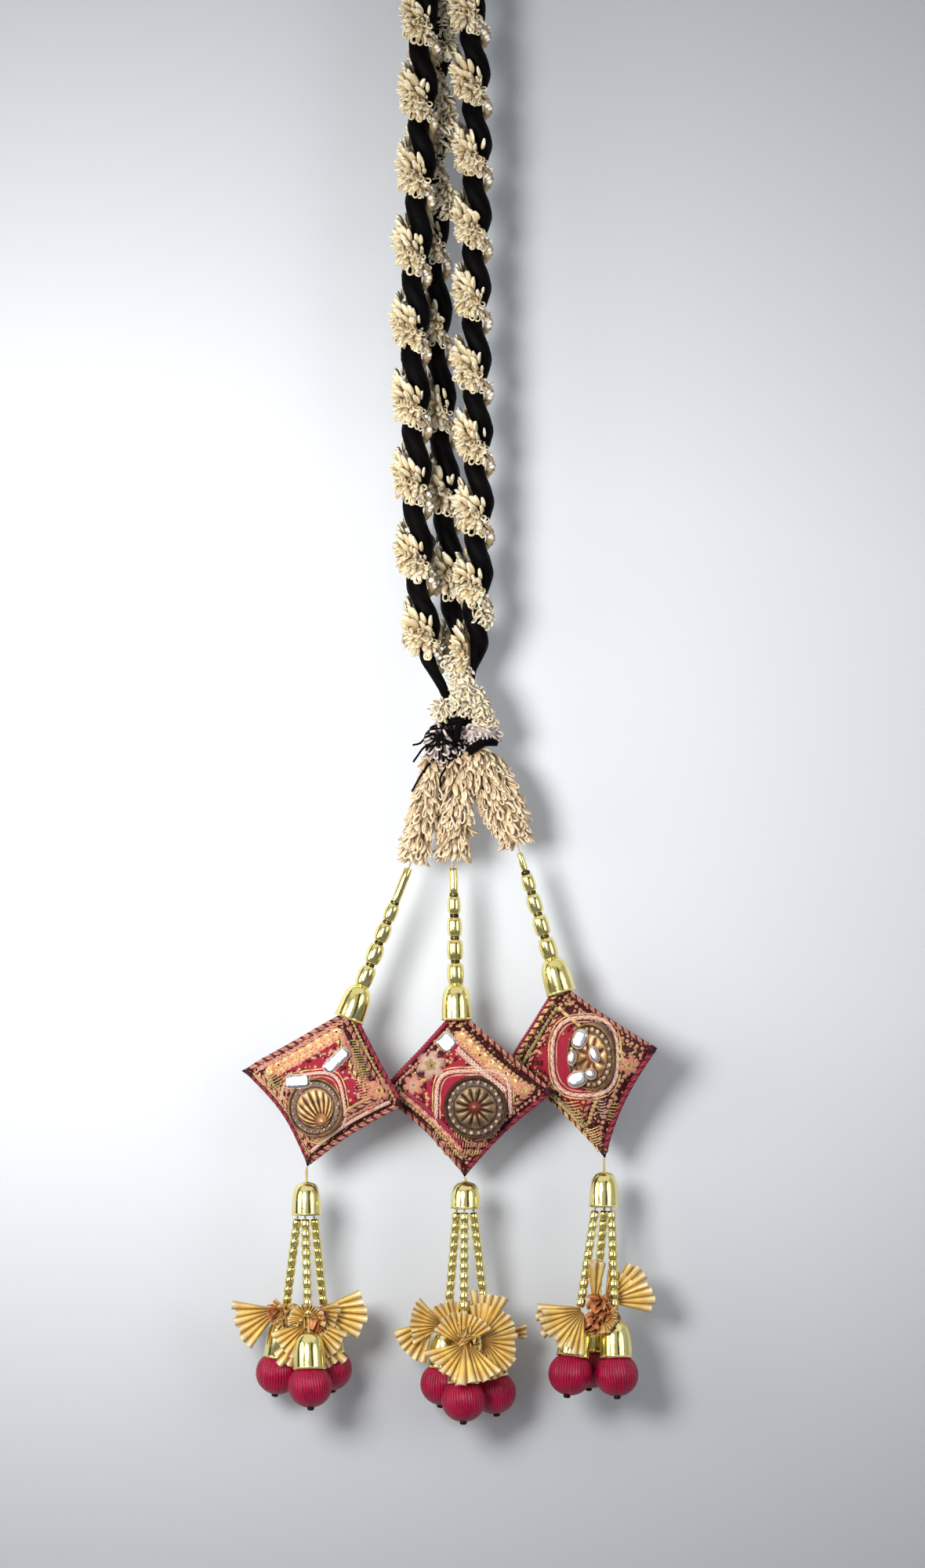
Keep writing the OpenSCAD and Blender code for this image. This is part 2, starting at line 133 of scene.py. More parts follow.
def gridPart(points, wrapRows=False, wrapColumns=False):
    # Cell (i, j) joins grid points i, i + 1 and j, j + 1, counted round where the grid wraps.
    rows, columns = points.shape[-3:-1]
    i, j = np.meshgrid(np.arange(rows - (not wrapRows)), np.arange(columns - (not wrapColumns)),
                       indexing="ij")
    row = np.stack([i, i, i + 1, i + 1], -1).reshape(-1, 4)
    column = np.stack([j, j + 1, j + 1, j], -1).reshape(-1, 4)
    cells = row % rows * columns + column % columns
    uv = np.stack([row / (rows - (not wrapRows)), column / (columns - (not wrapColumns))], -1)
    flat = points.reshape(-1, 3)
    copies = len(flat) // (rows * columns)
    shift = np.arange(copies)[:, None, None] * rows * columns
    return flat, (cells[None] + shift).reshape(-1, 4), np.tile(uv, (copies, 1, 1))


def cappedPart(rings, first=None, last=None):
    # Rings in a row, drawn together at each end to the point given, or else to the end ring's own middle.
    ends = [rings[k].mean(0) if point is None else point for k, point in ((0, first), (-1, last))]
    ends = [np.broadcast_to(end, (1, *rings.shape[1:])) for end in ends]
    return gridPart(np.concatenate([ends[0], rings, ends[1]]), wrapColumns=True)


def joined(parts):
    # The parts' points one after the other, with each part's cells counted on from the last.
    parts = list(parts)
    starts = np.cumsum([0] + [len(part[0]) for part in parts[:-1]])
    return (np.concatenate([part[0] for part in parts]),
            np.concatenate([part[1] + start for part, start in zip(parts, starts)]),
            np.concatenate([part[2] for part in parts]))


def tubePart(paths, radius, around=6, closed=False, hint=(0.13, 1.0, 0.07), section=(1.0, 1.0)):
    # Path + radius * (p cos a * x + q sin a * y) in the frame of the path's direction, where p and q are
    # the section's two measures; open ends shrink to a point.
    paths = np.asarray(paths, float)
    radius = np.broadcast_to(np.asarray(radius, float), paths.shape[:-1])
    if closed:
        along = np.roll(paths, -1, -2) - np.roll(paths, 1, -2)
    else:
        along = np.gradient(paths, axis=-2)
    axes = basis(along, hint)
    angle = aroundAngles(around)
    circle = np.stack([section[0] * np.cos(angle), section[1] * np.sin(angle)], -1)
    rings = np.einsum("ab,...cb->...ac", circle, axes[..., :2])
    rings = paths[..., None, :] + radius[..., None, None] * rings
    if not closed:
        first = np.repeat(paths[..., :1, None, :], around, -2)
        last = np.repeat(paths[..., -1:, None, :], around, -2)
        rings = np.concatenate([first, rings, last], -3)
    return gridPart(rings, wrapRows=closed, wrapColumns=True)


def twisted(line, radius, strands=2, pitch=4.0, around=6, closed=False, hint=(0.13, 1.0, 0.07), only=None):
    # Strands that circle the line at half the rope's radius, once for each pitch of its length; only
    # picks some of them.
    line = np.asarray(line, float)
    ends = np.concatenate([line, line[:1]]) if closed else line
    reach = np.concatenate([[0], np.cumsum(np.linalg.norm(np.diff(ends, axis=0), axis=1))])
    rounds = max(1, round(reach[-1] / pitch)) / reach[-1]
    along = np.roll(line, -1, 0) - np.roll(line, 1, 0) if closed else np.gradient(line, axis=0)
    axes = basis(along, hint)
    phases = turn * (reach[:len(line)] * rounds + np.arange(strands)[:, None] / strands)
    offset = np.cos(phases)[..., None] * axes[..., 0] + np.sin(phases)[..., None] * axes[..., 1]
    paths = line + offset * radius * 0.5
    return tubePart(paths if only is None else paths[list(only)], radius * 0.54, around, closed, hint)


def spunPart(profile, around=32, ripple=0.0, closed=False):
    # (r cos a, r sin a, z) for each r, z of the profile, where r has a ripple of rows by angles added.
    profile = np.asarray(profile, float)
    points = polar(profile[:, :1] + ripple, aroundAngles(around), profile[:, 1:])
    return gridPart(points, wrapRows=closed, wrapColumns=True)


def placed(part, origins, axes, scales=1.0):
    # origin + axes @ (scale * point), once for each origin.
    origins = np.atleast_2d(origins)
    axes = np.broadcast_to(axes, (len(origins), 3, 3))
    scales = np.broadcast_to(np.asarray(scales, float).reshape(-1, 1, 1 if np.ndim(scales) < 2 else 3),
                             (len(origins), 1, 3))
    points = origins[:, None, :] + np.einsum("nij,nkj->nki", axes, scales * part[0][None])
    cells = part[1][None] + np.arange(len(origins))[:, None, None] * len(part[0])
    return points.reshape(-1, 3), cells.reshape(-1, 4), np.tile(part[2], (len(origins), 1, 1))


def remapped(part, start, share=0.0):
    # The part with start + share * u and v for its map.
    return part[0], part[1], start + share * part[2]


def makePiece(name, parts, material, node=None, sharp=None, marks=None):
    # Joins parts in millimetres, welds points that lie within a tenth of a micron, drops the corners that
    # this joins, and puts the piece in the place of its node.
    points, cells, uv = joined(parts)
    points = points * mm
    key = np.round(points * 1e7).astype(np.int64)
    _, first, inverse = np.unique(key, axis=0, return_index=True, return_inverse=True)
    cells = inverse.reshape(-1)[cells]
    keep = cells != np.roll(cells, 1, axis=1)
    sound = (keep.sum(1) >= 3) & (cells[:, 0] != cells[:, 2]) & (cells[:, 1] != cells[:, 3])
    cells, uv, keep = cells[sound], uv[sound], keep[sound]
    counts = keep.sum(1)
    mesh = bpy.data.meshes.new(name)
    mesh.vertices.add(len(first))
    mesh.vertices.foreach_set("co", points[first].astype(np.float32).ravel())
    mesh.loops.add(int(counts.sum()))
    mesh.loops.foreach_set("vertex_index", cells[keep].astype(np.int32))
    mesh.polygons.add(len(cells))
    starts = np.concatenate([[0], np.cumsum(counts)[:-1]])
    mesh.polygons.foreach_set("loop_start", starts.astype(np.int32))
    mesh.update(calc_edges=True)
    layer = mesh.uv_layers.new(name="lay")
    layer.data.foreach_set("uv", uv[keep].astype(np.float32).ravel())
    for mark, values in (marks or {}).items():
        attribute = mesh.attributes.new(mark, "FLOAT", "POINT")
        attribute.data.foreach_set("value", np.asarray(values)[first].astype(np.float32))
    mesh.polygons.foreach_set("use_smooth", np.ones(len(cells), bool))
    if sharp:
        mesh.set_sharp_from_angle(angle=math.radians(sharp))
    mesh.validate()
    mesh.materials.append(finish[material])
    piece = bpy.data.objects.new(name, mesh)
    scene.collection.objects.link(piece)
    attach(piece, "root")
    if node:
        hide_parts(node)
    return piece


# Solids of the frame, measured in millimetres

def islandsOf(node):
    # Points that share a triangle get the lower of their labels until none changes; one array per label.
    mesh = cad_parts[node].data
    points = np.zeros(len(mesh.vertices) * 3, np.float32)
    mesh.vertices.foreach_get("co", points)
    corners = np.zeros(len(mesh.loops), np.int32)
    mesh.loops.foreach_get("vertex_index", corners)
    key = np.round(points.reshape(-1, 3).astype(float) * 1e6).astype(np.int64)
    found, inverse = np.unique(key, axis=0, return_inverse=True)
    triangles = inverse.reshape(-1)[corners].reshape(-1, 3)
    label = np.arange(len(found))
    while True:
        lowest = label[triangles].min(1)
        after = label.copy()
        np.minimum.at(after, triangles.ravel(), np.repeat(lowest, 3))
        after = after[after]
        if (after == label).all():
            break
        label = after
    return [found[label == k] * 1e-6 / mm for k in np.unique(label)]


def boxOf(node):
    # The lowest and the highest corner.
    return [np.array(corner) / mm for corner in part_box(node)]


def alongAxis(points, axis):
    # Lowest and highest point on the axis through the points' middle, and the greatest distance from it.
    middle = points.mean(0)
    along = (points - middle) @ axis
    off = np.linalg.norm(points - middle - along[:, None] * axis, axis=1).max()
    return middle + along.min() * axis, middle + along.max() * axis, off


def longAxis(points):
    # The direction in which the points reach furthest, by their covariance, turned upwards.
    _, vectors = np.linalg.eigh(np.cov((points - points.mean(0)).T))
    axis = vectors[:, 2]
    return axis * np.sign(axis[2])


def dropsOf(side):
    # Each drop's ball middle and radius, its direction upwards and its cap's mouth, top and width.
    caps = islandsOf(f"ball_caps_{side}")
    drops = []
    for number in (1, 2, 3):
        low, high = boxOf(f"ball_{side}_{number}")
        ball = (low + high) / 2
        cap = min(caps, key=lambda points: np.linalg.norm(points.mean(0) - ball))
        up = unit(cap.mean(0) - ball)
        reach = (cap - ball) @ up
        drops.append({"ball": ball, "radius": np.linalg.norm(high - ball) / math.sqrt(3), "up": up,
                      "mouth": ball + up * reach.min(), "top": ball + up * reach.max(),
                      "width": alongAxis(cap, up)[2]})
    return drops


# Materials

def linear(red, green, blue):
    # A screen colour of 0 to 255 as linear light, by the screen's 2.4 power curve.
    share = np.array([red, green, blue]) / 255
    light = np.where(share < 0.04045, share / 12.92, ((share + 0.055) / 1.055) ** 2.4)
    return (*light.tolist(), 1.0)


def fill(tree, node, inputs):
    # Joins each input to the socket, or sets it to the value, that is given for it.
    for name, value in inputs.items():
        if isinstance(value, bpy.types.NodeSocket):
            tree.links.new(value, node.inputs[name])
        else:
            node.inputs[name].default_value = value


def addNode(tree, kind, inputs=None, **settings):
    # Makes one node, sets it up and fills its inputs.
    made = tree.nodes.new(kind)
    for name, value in settings.items():
        setattr(made, name, value)
    fill(tree, made, inputs or {})
    return made


def sums(tree, operation, first, second=0.0, third=0.0, clamp=False):
    return addNode(tree, "ShaderNodeMath", {0: first, 1: second, 2: third},
                   operation=operation, use_clamp=clamp).outputs[0]


def weighed(tree, base, value, share):
    # base + share * value
    return sums(tree, "ADD", base, sums(tree, "MULTIPLY", value, share))


def mixed(tree, share, first, second):
    return addNode(tree, "ShaderNodeMix", {0: share, 6: first, 7: second}, data_type="RGBA").outputs[2]


def ramped(tree, value, low, high):
    # 0 under low, 1 over high and even between.
    return addNode(tree, "ShaderNodeMapRange", {0: value, 1: low, 2: high}, clamp=True).outputs[0]


def newGroup(name, inputs, outputs):
    # A group's tree, what it is given and its output node; its first input is a place on the surface.
    tree = bpy.data.node_groups.new(name, "ShaderNodeTree")
    tree.interface.new_socket(name="Place", in_out="INPUT", socket_type="NodeSocketVector")
    for label, value in inputs.items():
        socket = tree.interface.new_socket(name=label, in_out="INPUT", socket_type="NodeSocketFloat")
        socket.default_value = value
    for label in outputs:
        tree.interface.new_socket(name=label, in_out="OUTPUT", socket_type="NodeSocketFloat")
    return tree, addNode(tree, "NodeGroupInput").outputs, addNode(tree, "NodeGroupOutput")


def threadLay():
    # Slanting threads: half a sine of lines * v + slant * u, roughened by a long fine noise.
    tree, given, out = newGroup("threadLay", {"Lines": 3.0, "Slant": 20.0, "Fibres": 60.0},
                                ("Height", "Fibre"))
    axes = addNode(tree, "ShaderNodeSeparateXYZ", {0: given["Place"]}).outputs
    phase = weighed(tree, sums(tree, "MULTIPLY", axes["Y"], given["Lines"]), axes["X"], given["Slant"])
    wave = sums(tree, "ABSOLUTE", sums(tree, "SINE", sums(tree, "MULTIPLY", phase, math.pi)))
    stretched = addNode(tree, "ShaderNodeCombineXYZ", {0: phase, 1: sums(tree, "MULTIPLY", axes["X"], 0.4)})
    fibre = addNode(tree, "ShaderNodeTexNoise", {
        "Vector": stretched.outputs[0], "Scale": given["Fibres"], "Detail": 3.0, "Roughness": 0.6}).outputs[0]
    fill(tree, out, {"Height": weighed(tree, wave, fibre, 0.35), "Fibre": fibre})
    return tree


def handling():
    # Two noises of the object's own place: broad patches and fine specks.
    tree, given, out = newGroup("handling", {"Scale": 120.0}, ("Patch", "Speck"))
    fine = sums(tree, "MULTIPLY", given["Scale"], 9.0)
    for label, scale, detail, rough, low, high in (("Patch", given["Scale"], 2.0, 0.5, 0.32, 0.68),
                                                   ("Speck", fine, 4.0, 0.65, 0.3, 0.7)):
        noise = addNode(tree, "ShaderNodeTexNoise", {
            "Vector": given["Place"], "Scale": scale, "Detail": detail, "Roughness": rough}).outputs[0]
        fill(tree, out, {label: ramped(tree, noise, low, high)})
    return tree


def weaving():
    # Warp and weft: the greater of two squared sines, each hidden where the other passes over.
    tree, given, out = newGroup("weaving", {"Threads": 80.0}, ("Height", "Over"))
    axes = addNode(tree, "ShaderNodeSeparateXYZ", {0: given["Place"]}).outputs
    waves = []
    for axis in "XY":
        phase = sums(tree, "MULTIPLY", sums(tree, "MULTIPLY", axes[axis], given["Threads"]), math.pi)
        waves.append(sums(tree, "SINE", phase))
    over = sums(tree, "GREATER_THAN", sums(tree, "MULTIPLY", *waves), 0.0)
    warp, weft = (sums(tree, "ABSOLUTE", wave) for wave in waves)
    height = weighed(tree, sums(tree, "MULTIPLY", warp, over), weft, sums(tree, "SUBTRACT", 1.0, over))
    fill(tree, out, {"Height": height, "Over": over})
    return tree


groups = {"threadLay": threadLay(), "handling": handling(), "weaving": weaving()}


def plainMaterial(name):
    material = bpy.data.materials.new(name)
    material.use_nodes = True
    return material, material.node_tree, material.node_tree.nodes["Principled BSDF"]


def startMaterial(name):
    # A material with its Principled shader, and outlets for the object's place and the piece's own map.
    material, tree, shader = plainMaterial(name)
    place = addNode(tree, "ShaderNodeTexCoord").outputs["Object"]
    lay = addNode(tree, "ShaderNodeUVMap", uv_map="lay").outputs[0]
    return material, tree, shader, place, lay


def placeGroup(tree, name, inputs):
    return addNode(tree, "ShaderNodeGroup", inputs, node_tree=groups[name]).outputs


def bumped(tree, shader, height, distance, strength=0.6):
    # The distance is in millimetres.
    bump = addNode(tree, "ShaderNodeBump", {
        "Height": height, "Distance": distance * mm, "Strength": strength})
    fill(tree, shader, {"Normal": bump.outputs[0]})


def threadMaterial(name, dark, light, lines=2.0, slant=30.0, roughness=0.5, sheen=0.0, depth=0.15,
                   shine=0.25):
    # Colour goes from dark in the grooves between threads, which is painted shade, to light on their backs.
    material, tree, shader, place, lay = startMaterial(name)
    thread = placeGroup(tree, "threadLay", {"Place": lay, "Lines": lines, "Slant": slant})
    mark = placeGroup(tree, "handling", {"Place": place, "Scale": 300.0})
    share = sums(tree, "MULTIPLY", ramped(tree, thread["Height"], 0.15, 1.05),
                 weighed(tree, 0.65, mark["Patch"], 0.35))
    fill(tree, shader, {
        "Base Color": mixed(tree, share, linear(*dark), linear(*light)),
        "Roughness": weighed(tree, roughness - 0.1, mark["Speck"], 0.2),
        "Specular IOR Level": shine, "Sheen Weight": sheen})
    bumped(tree, shader, thread["Height"], depth)
    return material


def metalMaterial(name, bright, dull, roughness, patchScale=160.0, marks=0.02, metallic=1.0):
    # Plate that is bright with dull patches; fine specks roughen it.
    material, tree, shader, place, _ = startMaterial(name)
    mark = placeGroup(tree, "handling", {"Place": place, "Scale": patchScale})
    fill(tree, shader, {
        "Base Color": mixed(tree, mark["Patch"], linear(*bright), linear(*dull)),
        "Roughness": weighed(tree, roughness, mark["Speck"], 0.12), "Metallic": metallic})
    bumped(tree, shader, mark["Speck"], marks, 0.4)
    return material


def ribbonMaterial(name, root, body, tip, metallic=0.15, roughness=0.34, wires=3.0, deep=0.55, pale=0.72):
    # Metal-thread ribbon: wires run along it, and its colour goes from root to tip with u, the tip's from
    # pale on. The darker root is painted shade where the ribbon gathers, and the pale tip a painted
    # highlight.
    # In the grooves between wires it goes towards the root's colour by the share deep, which is painted
    # shade.
    material, tree, shader, place, lay = startMaterial(name)
    thread = placeGroup(tree, "threadLay", {"Place": lay, "Lines": wires, "Slant": 0.0, "Fibres": 25.0})
    mark = placeGroup(tree, "handling", {"Place": place, "Scale": 260.0})
    u = addNode(tree, "ShaderNodeSeparateXYZ", {0: lay}).outputs["X"]
    root = linear(*root)
    colour = mixed(tree, ramped(tree, u, 0.0, 0.45), root, linear(*body))
    colour = mixed(tree, ramped(tree, u, pale, 1.0), colour, linear(*tip))
    groove = sums(tree, "MULTIPLY", ramped(tree, thread["Height"], 0.1, 0.9),
                  weighed(tree, 0.55, mark["Patch"], 0.45))
    fill(tree, shader, {
        "Base Color": mixed(tree, groove, mixed(tree, deep, colour, root), colour),
        "Roughness": weighed(tree, roughness, mark["Speck"], 0.2), "Metallic": metallic})
    bumped(tree, shader, thread["Height"], 0.08)
    return material


def antiqueMaterial(name, bright, dull, red):
    # Stamped gilt: bright on the raised work, dark maroon in its hollows, which is tarnish and painted shade,
    # and redder on its heart.
    material, tree, shader, place, _ = startMaterial(name)
    mark = placeGroup(tree, "handling", {"Place": place, "Scale": 420.0})
    hollow, heart = (addNode(tree, "ShaderNodeAttribute", attribute_name=each).outputs["Fac"]
                     for each in ("hollow", "heart"))
    gilt = mixed(tree, heart, mixed(tree, mark["Patch"], linear(*bright), linear(*dull)), linear(*red))
    # the hollows go dark maroon and less metallic: tarnish and painted shade
    hollowTarnishAndShade = sums(tree, "MULTIPLY", hollow, weighed(tree, 0.75, mark["Speck"], 0.25))
    fill(tree, shader, {
        "Base Color": mixed(tree, hollowTarnishAndShade, gilt, linear(52, 18, 20)),
        "Metallic": sums(tree, "SUBTRACT", 0.6, sums(tree, "MULTIPLY", hollowTarnishAndShade, 0.5)),
        "Roughness": weighed(tree, 0.3, mark["Speck"], 0.2)})
    bumped(tree, shader, mark["Speck"], 0.05, 0.4)
    return material


def pearlMaterial(name, body, shade):
    # A coated bead: pale, with a darker tint in patches under a clear coat.
    material, tree, shader, place, _ = startMaterial(name)
    mark = placeGroup(tree, "handling", {"Place": place, "Scale": 400.0})
    fill(tree, shader, {
        "Base Color": mixed(tree, mark["Patch"], linear(*body), linear(*shade)),
        "Roughness": weighed(tree, 0.25, mark["Speck"], 0.15), "Coat Weight": 0.5, "Coat Roughness": 0.1})
    return material


stitches = {"lines": 1.0, "slant": 9.0, "sheen": 0.2}
# Each finish: its name, its colours from 0 to 255, and what else its function is given.
finishMake = (
    (threadMaterial, (
        ("blackThread", (1, 0, 0), (9, 6, 7), {"lines": 3.0, "slant": 26.0, "roughness": 0.6, "shine": 0.05}),
        ("goldThread", (150, 118, 58), (236, 214, 158), {"lines": 3.0, "roughness": 0.45}),
        ("mauveCord", (110, 50, 52), (208, 146, 124), {}),
        ("darkCord", (44, 14, 16), (118, 54, 50), {"roughness": 0.6, "shine": 0.1}),
        ("maroonCord", (92, 20, 38), (176, 58, 80), {}),
        ("pinkCord", (168, 108, 94), (238, 206, 186), {"roughness": 0.45}),
        ("crimsonThread", (60, 0, 18), (196, 0, 66),
         {"lines": 46.0, "slant": 2.0, "roughness": 0.3, "depth": 0.3, "shine": 0.32}),
        ("goldStitch", (146, 98, 48), (242, 204, 136), {**stitches, "roughness": 0.4}),
        ("oliveStitch", (96, 84, 34), (190, 176, 104), {**stitches, "roughness": 0.42}),
        ("roseStitch", (154, 70, 58), (236, 170, 138), {**stitches, "roughness": 0.45}))),
    (ribbonMaterial, (
        ("laceGold", (136, 98, 50), (244, 230, 188), (255, 255, 253),
         {"metallic": 0.08, "wires": 4.0, "pale": 0.45}),
        ("gotaPeach", (158, 120, 78), (250, 230, 194), (255, 250, 236),
         {"metallic": 0.05, "roughness": 0.36}),
        ("knotLoops", (120, 100, 92), (226, 212, 204), (250, 244, 238),
         {"metallic": 0.12, "roughness": 0.45, "wires": 6.0}),
        ("orangeGota", (140, 80, 18), (252, 216, 120), (255, 244, 204),
         {"wires": 2.4, "deep": 0.8, "pale": 0.66}),
        ("copperGota", (120, 56, 24), (206, 130, 72), (246, 200, 140), {"roughness": 0.36, "wires": 2.0}))),
    (metalMaterial, (
        ("goldPlate", (250, 238, 168), (238, 222, 138), {"roughness": 0.07}),
        ("spacerGold", (104, 92, 54), (56, 48, 28), {"roughness": 0.3}),
        ("sequinGold", (246, 204, 146), (222, 172, 110),
         {"roughness": 0.3, "patchScale": 300.0, "marks": 0.03, "metallic": 0.6}),
        ("mirrorGlass", (246, 247, 248), (226, 230, 232),
         {"roughness": 0.03, "patchScale": 90.0, "marks": 0.004}),
        ("darkPin", (52, 48, 44), (30, 26, 24), {"roughness": 0.35}))),
    (antiqueMaterial, (
        ("medallionGold", (216, 168, 112), (136, 108, 72), (176, 98, 70), {}),
        ("medallionOlive", (158, 130, 94), (90, 76, 54), (122, 60, 48), {}))),
    (pearlMaterial, (
        ("pearl", (206, 184, 140), (130, 110, 74), {}),)))
finish = {name: make(name, *colours, **more) for make, rows in finishMake for name, *colours, more in rows}
print("materials ready")


# Cords. Each route is the same as its solid's, in millimetres from the loop's eye: x and y at these heights.

cordHeights = (-28, -36, -44, -53, -64, -82, -100, -118, -142, -165, -188, -208, -226, -244, -258, -270, -281)
frontDepths = (-1.5, -2.2, -3.2, -3.8, *[-4] * 10, -3.8, -3, -1.5)
backDepths = (3, 4.2, 6.4, 8.6, *[9.8] * 9, 9.6, 8.2, 6, 2.9)
cordRoutes = {side: np.column_stack([across, depths, cordHeights]) for side, across, depths in (
    ("left", (-2.6, -3.8, -6.4, -8.8, -9.8, -10, -10.4, -11, -12.2, -12.5, -12.2, -12, -11.6, -10.5,
              -8.6, -5.8, -1), frontDepths),
    ("middle", (0, -0.6, -2.2, -4.2, -5.4, -6.2, -6.7, -6.6, -5.8, -5, -3.8, -2.8, -1.8, -0.2,
                1.2, 2, 1.5), backDepths),
    ("right", (2.6, 3, 4.2, 5.4, 6.2, 6.8, 7.2, 7.2, 7, 7, 7.5, 7.8, 7.8, 7.4,
               6.6, 5.4, 4), frontDepths))}

# Radii in millimetres by height; the twist is the height in which a ply goes once round.
cordMake = {"heights": (-281, -252, -62, -28), "radii": (2.4, 4.3, 4.3, 2.5), "plies": 6, "ridge": 0.1,
            "twist": 34.0, "rings": 220, "around": 36, "diameter": 8.6,
            # how thin the cord is drawn at these heights, and how far it gives way to the lace between them
            "fade": (-281, -262, -70, -50), "slim": (0.55, 0.78, 0.78, 1.0), "sway": 1.5}


def cordRadius(z):
    return np.interp(z, cordMake["heights"], cordMake["radii"])


def makeCord(side):
    # Radius * (1 - ridge + ridge * |cos(plies / 2 * (angle + turn * z / twist))|) round the route, which
    # sways away from the side where the lace lies.
    made = cordMake
    route = smoothPath(cordRoutes[side], made["rings"])
    low, lowest, highest, high = made["fade"]
    share = smoothStep(low, lowest, route[:, 2:]) * (1 - smoothStep(highest, high, route[:, 2:]))
    route = route - helixAt(side, route[:, 2])[1] * made["sway"] * share
    z = route[:, 2:]
    angle = aroundAngles(made["around"])
    lay = np.abs(np.cos(made["plies"] / 2 * (angle + turn * z / made["twist"])))
    slim = np.interp(z, made["fade"], made["slim"])
    r = cordRadius(z) * slim * (1 - made["ridge"] + made["ridge"] * lay)
    rings = route[:, None] + polar(r, angle, 0.0)
    part = cappedPart(rings[::-1], route[-1], route[0])
    return makePiece(f"black_cord_{side}", [part], "blackThread", f"cord_{side}")


# Lace: a crumpled band winds down each cord and carries rows of petals and picots.
# Each row: height in the band, how far its petals point down, out and along, their length and width.
laceMake = {
    "windings": {"left": (24.4, -88.8), "middle": (27.0, -241.0), "right": (22.8, -84.0)},
    "share": 0.54, "top": -47.0, "end": -270.0, "clear": 0.35, "perTurn": 23, "wire": 0.36, "roll": 0.4,
    "depth": 2.0,
    # the crumpled strip under the petals: its waves are height, turn across and turn along z in radians
    "strip": {"perTurn": 60, "across": 9, "sunk": 0.35, "width": (0.05, 0.53), "bulge": 0.5,
              "waves": ((0.35, 17, 2.1), (0.25, 0, 5.3))},
    # the rosettes' side, in degrees round the cord, and how far they reach from it down and up the winding
    "rosettes": {"left": (244, 50, 126), "middle": (238, 56, 136), "right": (244, 48, 126)},
    # how much of the winding's slope the lower and the upper half take back, the swell and how small the
    # ends are
    "squeeze": (0.4, 0.12), "swell": {"left": 1.6, "middle": 2.8, "right": 1.5}, "least": 0.6,
    # how pale the rosettes' hearts are: the darker hearts are painted shade, and the middle cord's hearts are
    # paler, painted light where the front cords shade them
    "heart": {"left": 0.6, "middle": 0.85, "right": 0.6},
    # what chance changes: place on the winding, the rosettes' ragged edge, distance from the cord, where a
    # petal points, its width and length, and its tint between the darkest and the palest
    "along": 0.5, "ragged": 0.1, "off": (-0.2, 0.5), "astray": (0.2, 0.1),
    "sizes": ((0.85, 1.15), (0.8, 1.15)), "tint": 0.12, "tints": (0.35, 1),
    "petals": (
        (-0.22, 0.97, 0.16, 0.05, 3.3, 2.0),
        (-0.12, 0.92, 0.28, -0.30, 3.3, 2.0),
        (-0.02, 0.80, 0.44, 0.20, 3.2, 1.9),
        (0.08, 0.50, 0.60, -0.50, 3.0, 1.9),
        (0.16, 0.10, 0.70, -0.50, 3.0, 1.8),
        (0.14, -0.75, 0.30, -0.40, 4.0, 1.8),
        (0.28, -0.95, 0.12, -0.20, 4.8, 1.8)),
    "picots": (
        (-0.30, 0.92, 0.34, 0.1, 3.0, 1.9),
        (0.02, 0.3, 0.5, 0.8, 2.6, 1.7)),
    # round bobbles: height in the band, radius, and from which angle past the rosette's side to which
    "bobblesPerTurn": 16,
    "bobbles": ((-0.27, 1.0, 8, 128), (-0.05, 0.9, 36, 116))}


def loopPart(width, length, wire, steps=12, around=5, section=(1.0, 1.0)):
    # A closed wire that hangs from the origin: (w/2 sin a (1 - 0.28 cos a), 0, -l (1 - cos a) / 2).
    a = aroundAngles(steps)
    x = width / 2 * np.sin(a) * (1.0 - 0.28 * np.cos(a))
    path = np.stack([x, 0 * a, -length * (1 - np.cos(a)) / 2], -1)
    return tubePart(path, wire, around, closed=True, hint=(0, 1, 0), section=section)


def petalPart(width, length, cup=0.9, pinch=0.3, sheet=0.26, rows=7, columns=5):
    # Half width w sin(0.93 pi s^0.75)^0.6, bowed by cup * (0.8 t^2 - s^2) and folded along its length by
    # pinch * cos(0.9 * 2 pi t) * sin(pi s).
    s = np.linspace(0.03, 1, rows)[:, None]
    t = np.linspace(-1, 1, columns)[None, :]
    half = width / 2 * np.sin(math.pi * s ** 0.75 * 0.93) ** 0.6
    y = cup * (t ** 2 * 0.8 - s ** 2) + pinch * np.cos(turn * t * 0.9) * np.sin(math.pi * s)
    face = np.stack([half * t, y, -length * s + 0 * t], -1)
    return cappedPart(np.concatenate([face[:, ::-1], face + (0, sheet, 0)], 1))


def bobblePart():
    # A ball of radius 1 that is flatter at its foot.
    return spunPart([[0, -0.7], [0.75, -0.55], [1, 0], [0.8, 0.6], [0.4, 0.92], [0, 1]], 8)


def tinted(part, shares):
    # The map's u of each copy times its share, which takes its colour towards the ribbon's root.
    points, cells, uv = part
    pull = np.repeat(shares, len(uv) // len(shares))[:, None, None]
    return points, cells, np.concatenate([uv[..., :1] * pull, uv[..., 1:]], -1)


def helixAt(side, z):
    # Middle of the route, outward direction and direction along the winding at height z.
    pitch, front = laceMake["windings"][side]
    route = cordRoutes[side][::-1]
    middle = np.stack([np.interp(z, route[:, 2], route[:, 0]), np.interp(z, route[:, 2], route[:, 1]), z], -1)
    angle = np.radians(270 + 360 * (front - z) / pitch)
    out = np.stack([np.cos(angle), np.sin(angle), 0 * z], -1)
    along = np.stack([-np.sin(angle), np.cos(angle), 0 * z], -1)
    return middle, out, along


